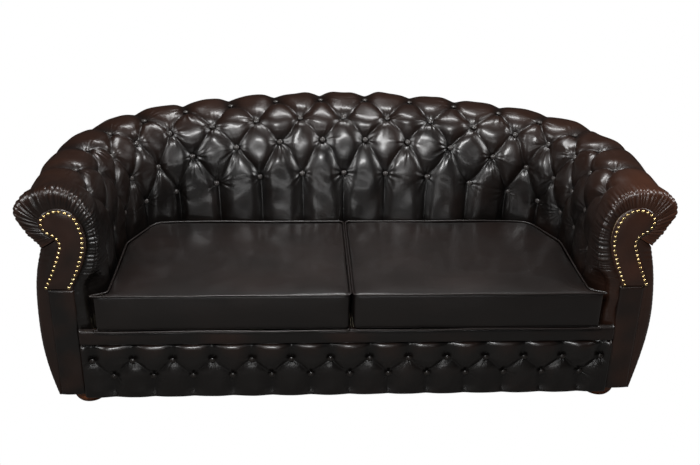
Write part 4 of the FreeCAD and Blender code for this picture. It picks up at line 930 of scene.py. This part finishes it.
def rounded_loop(corners, spacing):
    """Polyline round a plan with each corner rounded by an arc."""
    loop = []
    points = [np.array(point, float) for point, radius in corners]
    for index, (corner, (_, radius)) in enumerate(zip(points, corners)):
        before, after = points[index - 1] - corner, points[(index + 1) % len(points)] - corner
        room = 0.45 * min(np.linalg.norm(before), np.linalg.norm(after))
        before, after = before / np.linalg.norm(before), after / np.linalg.norm(after)
        half = math.acos(np.clip(before @ after, -1, 1)) / 2
        reach = min(radius / math.tan(half), room)
        bisector = (before + after) / np.linalg.norm(before + after)
        radius = reach * math.tan(half)
        nearest = corner + bisector * (radius / math.sin(half) - radius)
        loop.append(arc_points(corner + before * reach, nearest, corner + after * reach, CORNER_STEPS))
    loop = np.concatenate(loop)
    loop = np.concatenate([loop, loop[:1]])
    run = lengths(loop)
    at = np.linspace(0, run[-1], int(run[-1] / spacing), endpoint=False)
    return np.stack([np.interp(at, run, loop[:, 0]), np.interp(at, run, loop[:, 1])], axis=-1)


def cushion_prism(side, name, loop):
    """Upright prism between the two seams over a loop in plan, in metres, with an even mesh."""
    mesh = bmesh.new()
    ring = [mesh.verts.new((side * x / 1000, y / 1000, SEAMS[0] / 1000)) for x, y in loop]
    mesh.faces.new(ring)
    top = bmesh.ops.extrude_face_region(mesh, geom=list(mesh.faces))
    moved = [item for item in top["geom"] if isinstance(item, bmesh.types.BMVert)]
    bmesh.ops.translate(mesh, verts=moved, vec=(0, 0, (SEAMS[1] - SEAMS[0]) / 1000))
    bmesh.ops.recalc_face_normals(mesh, faces=list(mesh.faces))
    data = bpy.data.meshes.new(name + "_cushion_leather")
    mesh.to_mesh(data)
    mesh.free()
    item = bpy.data.objects.new(name + "_cushion_leather", data)
    scene.collection.objects.link(item)
    remesh = item.modifiers.new("even", "REMESH")
    remesh.mode = "VOXEL"
    remesh.voxel_size = VOXEL
    apply_modifiers(item)
    return item


def pin_seams(item, side, loop):
    """Group of the points that lie near the two seams."""
    points = read_points(item)
    plan = points[:, None, :2] * 1000 * [side, 1]
    plan_gap = np.linalg.norm(plan - loop[None, ::2], axis=2).min(axis=1)
    height = points[:, 2] * 1000
    seam_gap = np.minimum(np.abs(height - SEAMS[0]), np.abs(height - SEAMS[1]))
    near = (plan_gap < 9) & (seam_gap < 5)
    seam = item.vertex_groups.new(name="seam")
    seam.add([int(i) for i in np.nonzero(near)[0]], 1.0, "REPLACE")


def stuff(item):
    """Blows the cloth up under pressure, with its seams held and each point's way limited."""
    before = read_points(item)
    cloth = item.modifiers.new("stuffing", "CLOTH")
    settings = cloth.settings
    settings.quality = 6
    settings.mass = 0.4
    settings.tension_stiffness = 30
    settings.compression_stiffness = 30
    settings.shear_stiffness = 12
    settings.bending_stiffness = 2.5
    settings.use_pressure = True
    settings.uniform_pressure_force = STUFFING_PRESSURE
    settings.vertex_group_mass = "seam"
    settings.effector_weights.gravity = 0
    cloth.point_cache.frame_start = 1
    cloth.point_cache.frame_end = STUFFING_FRAMES
    for frame_number in range(1, STUFFING_FRAMES + 1):
        scene.frame_set(frame_number)
    apply_modifiers(item)
    scene.frame_set(1)
    move = read_points(item) - before
    length = np.linalg.norm(move, axis=1, keepdims=True)
    write_points(item, before + move * np.minimum(1, MOST_STUFFED / np.maximum(length, 1e-9)))


def cushion_body(side, name):
    """Stuffed cushion: a prism under pressure, held at its two seams, with a slightly wavy skin."""
    loop = rounded_loop(cushion_plan(PIPING_RADIUS + 2), SEAM_MESH)
    item = cushion_prism(side, name, loop)
    pin_seams(item, side, loop)
    stuff(item)
    item.modifiers.new("fine", "SUBSURF").levels = 1
    apply_modifiers(item)
    points = read_points(item) * 1000
    normals = np.zeros(len(points) * 3)
    item.data.vertices.foreach_get("normal", normals)
    ripple = 0.9 * waves(points, 330, 81 + side) + 0.25 * waves(points, 90, 83 + side)
    points += normals.reshape(-1, 3) * ripple[:, None]
    write_points(item, points / 1000)
    item.data.materials.append(cushion_leather)
    item.data.shade_smooth()
    # Painted sheen: the top face is made browner than the sides and the front, with a little random tone
    wear_and_painted_light = 0.36 * smooth(SEAT - 12, SEAT, points[:, 2]) - 0.10 + 0.08 * waves(points, 240, 85)
    set_wear_and_painted_light(item.data, wear_and_painted_light, 0 * wear_and_painted_light)
    return item


def read_points(item):
    """Points of a mesh, in metres."""
    values = np.zeros(len(item.data.vertices) * 3)
    item.data.vertices.foreach_get("co", values)
    return values.reshape(-1, 3)


def write_points(item, points):
    """Moves the points of a mesh to places in metres."""
    item.data.vertices.foreach_set("co", np.asarray(points, float).ravel())
    item.data.update()


def apply_modifiers(item):
    """Replaces the mesh by the one that its modifiers make."""
    evaluated = item.evaluated_get(bpy.context.evaluated_depsgraph_get())
    made = bpy.data.meshes.new_from_object(evaluated)
    item.modifiers.clear()
    item.data = made


def cord(name, path, radius, material):
    """Closed round cord along a loop of points."""
    ahead = np.roll(path, -1, axis=0) - np.roll(path, 1, axis=0)
    ahead /= np.linalg.norm(ahead, axis=1)[:, None]
    sideways = np.cross(ahead, [0, 0, 1.0])
    sideways /= np.linalg.norm(sideways, axis=1)[:, None]
    angle = np.linspace(0, 2 * math.pi, PIPING_SIDES, endpoint=False)[None, :, None]
    ring = sideways[:, None] * np.cos(angle) + np.array([0, 0, 1.0]) * np.sin(angle)
    points = (path[:, None] + radius * ring).reshape(-1, 3)
    faces = grid_faces(len(path) + 1, PIPING_SIDES, closed=True)
    faces = [[index % len(points) for index in face] for face in faces]
    wear_and_painted_light = np.full(len(points), 0.2)
    return new_object(name, points, faces, material, wear_and_painted_light, 0 * wear_and_painted_light)


def cushion(side, name):
    """One loose cushion with the piping along its two seams."""
    body = name + "_cushion"
    item = cushion_body(side, name)
    loop = rounded_loop(cushion_plan(PIPING_RADIUS), PIPING_MESH)
    cords = []
    for place_name, level in zip(("low", "high"), SEAMS):
        wander = 0.8 * waves(np.c_[loop, np.full(len(loop), level)], 220, 91)
        path = np.stack([side * loop[:, 0], loop[:, 1], level + wander], axis=-1)
        cords.append(cord(name + "_" + place_name + "_piping", path, PIPING_RADIUS, cushion_leather))
    for part in [item] + cords:
        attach(part, body)
    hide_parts(name + "_cushion_cover")
    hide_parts(name + "_cushion_piping")


cushion(-1, "left")
cushion(1, "right")


# Floor, lights and the camera where the photograph was taken

FLOOR_REACH = 14.0
FLOOR_LOW, FLOOR_HIGH = (0.085, 0.08, 0.075), (0.12, 0.115, 0.11)
ROOM_LIGHT = 0.02


def floor_material():
    """White where the camera sees it, and a matte grey to the light that falls on the sofa."""
    material, nodes, links, shader = new_material("pale_floor")
    tone = noise_node(nodes, links, 0.8)
    pale = ramp_node(nodes, links, tone.outputs["Fac"], ((0.3, FLOOR_LOW), (0.7, FLOOR_HIGH)))
    links.new(pale.outputs["Color"], shader.inputs["Base Color"])
    shader.inputs["Roughness"].default_value = 0.8
    white = nodes.new("ShaderNodeEmission")
    seen = nodes.new("ShaderNodeLightPath")
    mix = nodes.new("ShaderNodeMixShader")
    links.new(seen.outputs["Is Camera Ray"], mix.inputs[0])
    links.new(shader.outputs[0], mix.inputs[1])
    links.new(white.outputs[0], mix.inputs[2])
    links.new(mix.outputs[0], nodes["Material Output"].inputs["Surface"])
    return material


def floor():
    """Plain floor under the sofa."""
    mesh = bpy.data.meshes.new("floor")
    corners = [(FLOOR_REACH * x, FLOOR_REACH * y, 0) for x, y in ((-1, -1), (1, -1), (1, 1), (-1, 1))]
    mesh.from_pydata(corners, [], [(0, 1, 2, 3)])
    mesh.materials.append(floor_material())
    item = bpy.data.objects.new("floor", mesh)
    scene.collection.objects.link(item)


def light(name, spot, target, width, height, power):
    """Rectangular lamp that points at a target, with its sizes in metres and its power in watts."""
    data = bpy.data.lights.new(name, "AREA")
    data.shape = "RECTANGLE"
    data.size = width
    data.size_y = height
    data.energy = power
    item = bpy.data.objects.new(name, data)
    scene.collection.objects.link(item)
    item.location = spot
    item.rotation_euler = (Vector(target) - Vector(spot)).to_track_quat("-Z", "Y").to_euler()


floor()
light("key_softbox", (-0.5, -2.6, 2.7), (0, 0, 0.5), 1.0, 0.5, 64)
light("left_window", (-3.0, -1.2, 2.1), (0, 0, 0.5), 0.8, 1.4, 36)
light("right_window", (2.7, -0.6, 2.2), (0.3, 0, 0.5), 0.9, 1.0, 36)
light("low_strip", (-0.3, -3.6, 1.1), (0, 0, 0.2), 2.4, 0.2, 9)
light("top_softbox", (0.2, 0.6, 3.2), (0, 0, 0.4), 1.5, 0.4, 42)

world = bpy.data.worlds.new("studio")
scene.world = world
world.use_nodes = True
room = world.node_tree.nodes
seen_directly = room.new("ShaderNodeLightPath")
links = world.node_tree.links
is_seen = seen_directly.outputs["Is Camera Ray"]
strength = maths(room, links, "MULTIPLY_ADD", is_seen, 1 - ROOM_LIGHT, ROOM_LIGHT)
links.new(strength, room["Background"].inputs["Strength"])
room["Background"].inputs["Color"].default_value = (1, 1, 1, 1)

# The camera that was fitted to the photograph: its place in metres, its turns and its lens

CAMERA_SPOT = (-0.1626, -2.926, 1.7889)
CAMERA_YAW = 0.0614
CAMERA_DOWN = math.radians(24.9315)
CAMERA_ROLL = math.radians(1.316)
LENS = 46.75


def camera():
    """Camera at the photograph's spot, turned, tipped down and rolled as the photograph shows."""
    level = Vector((math.sin(CAMERA_YAW), math.cos(CAMERA_YAW), 0))
    right = Vector((math.cos(CAMERA_YAW), -math.sin(CAMERA_YAW), 0))
    vertical = Vector((0, 0, 1))
    ahead = level * math.cos(CAMERA_DOWN) - vertical * math.sin(CAMERA_DOWN)
    upward = level * math.sin(CAMERA_DOWN) + vertical * math.cos(CAMERA_DOWN)
    rolled_right = right * math.cos(CAMERA_ROLL) + upward * math.sin(CAMERA_ROLL)
    rolled_up = upward * math.cos(CAMERA_ROLL) - right * math.sin(CAMERA_ROLL)
    data = bpy.data.cameras.new("camera")
    data.lens = LENS
    data.sensor_width = 36
    item = bpy.data.objects.new("camera", data)
    scene.collection.objects.link(item)
    turn = Matrix((rolled_right, rolled_up, -ahead)).transposed()
    item.matrix_world = Matrix.Translation(CAMERA_SPOT) @ turn.to_4x4()
    scene.camera = item


camera()
scene.view_settings.view_transform = "Standard"
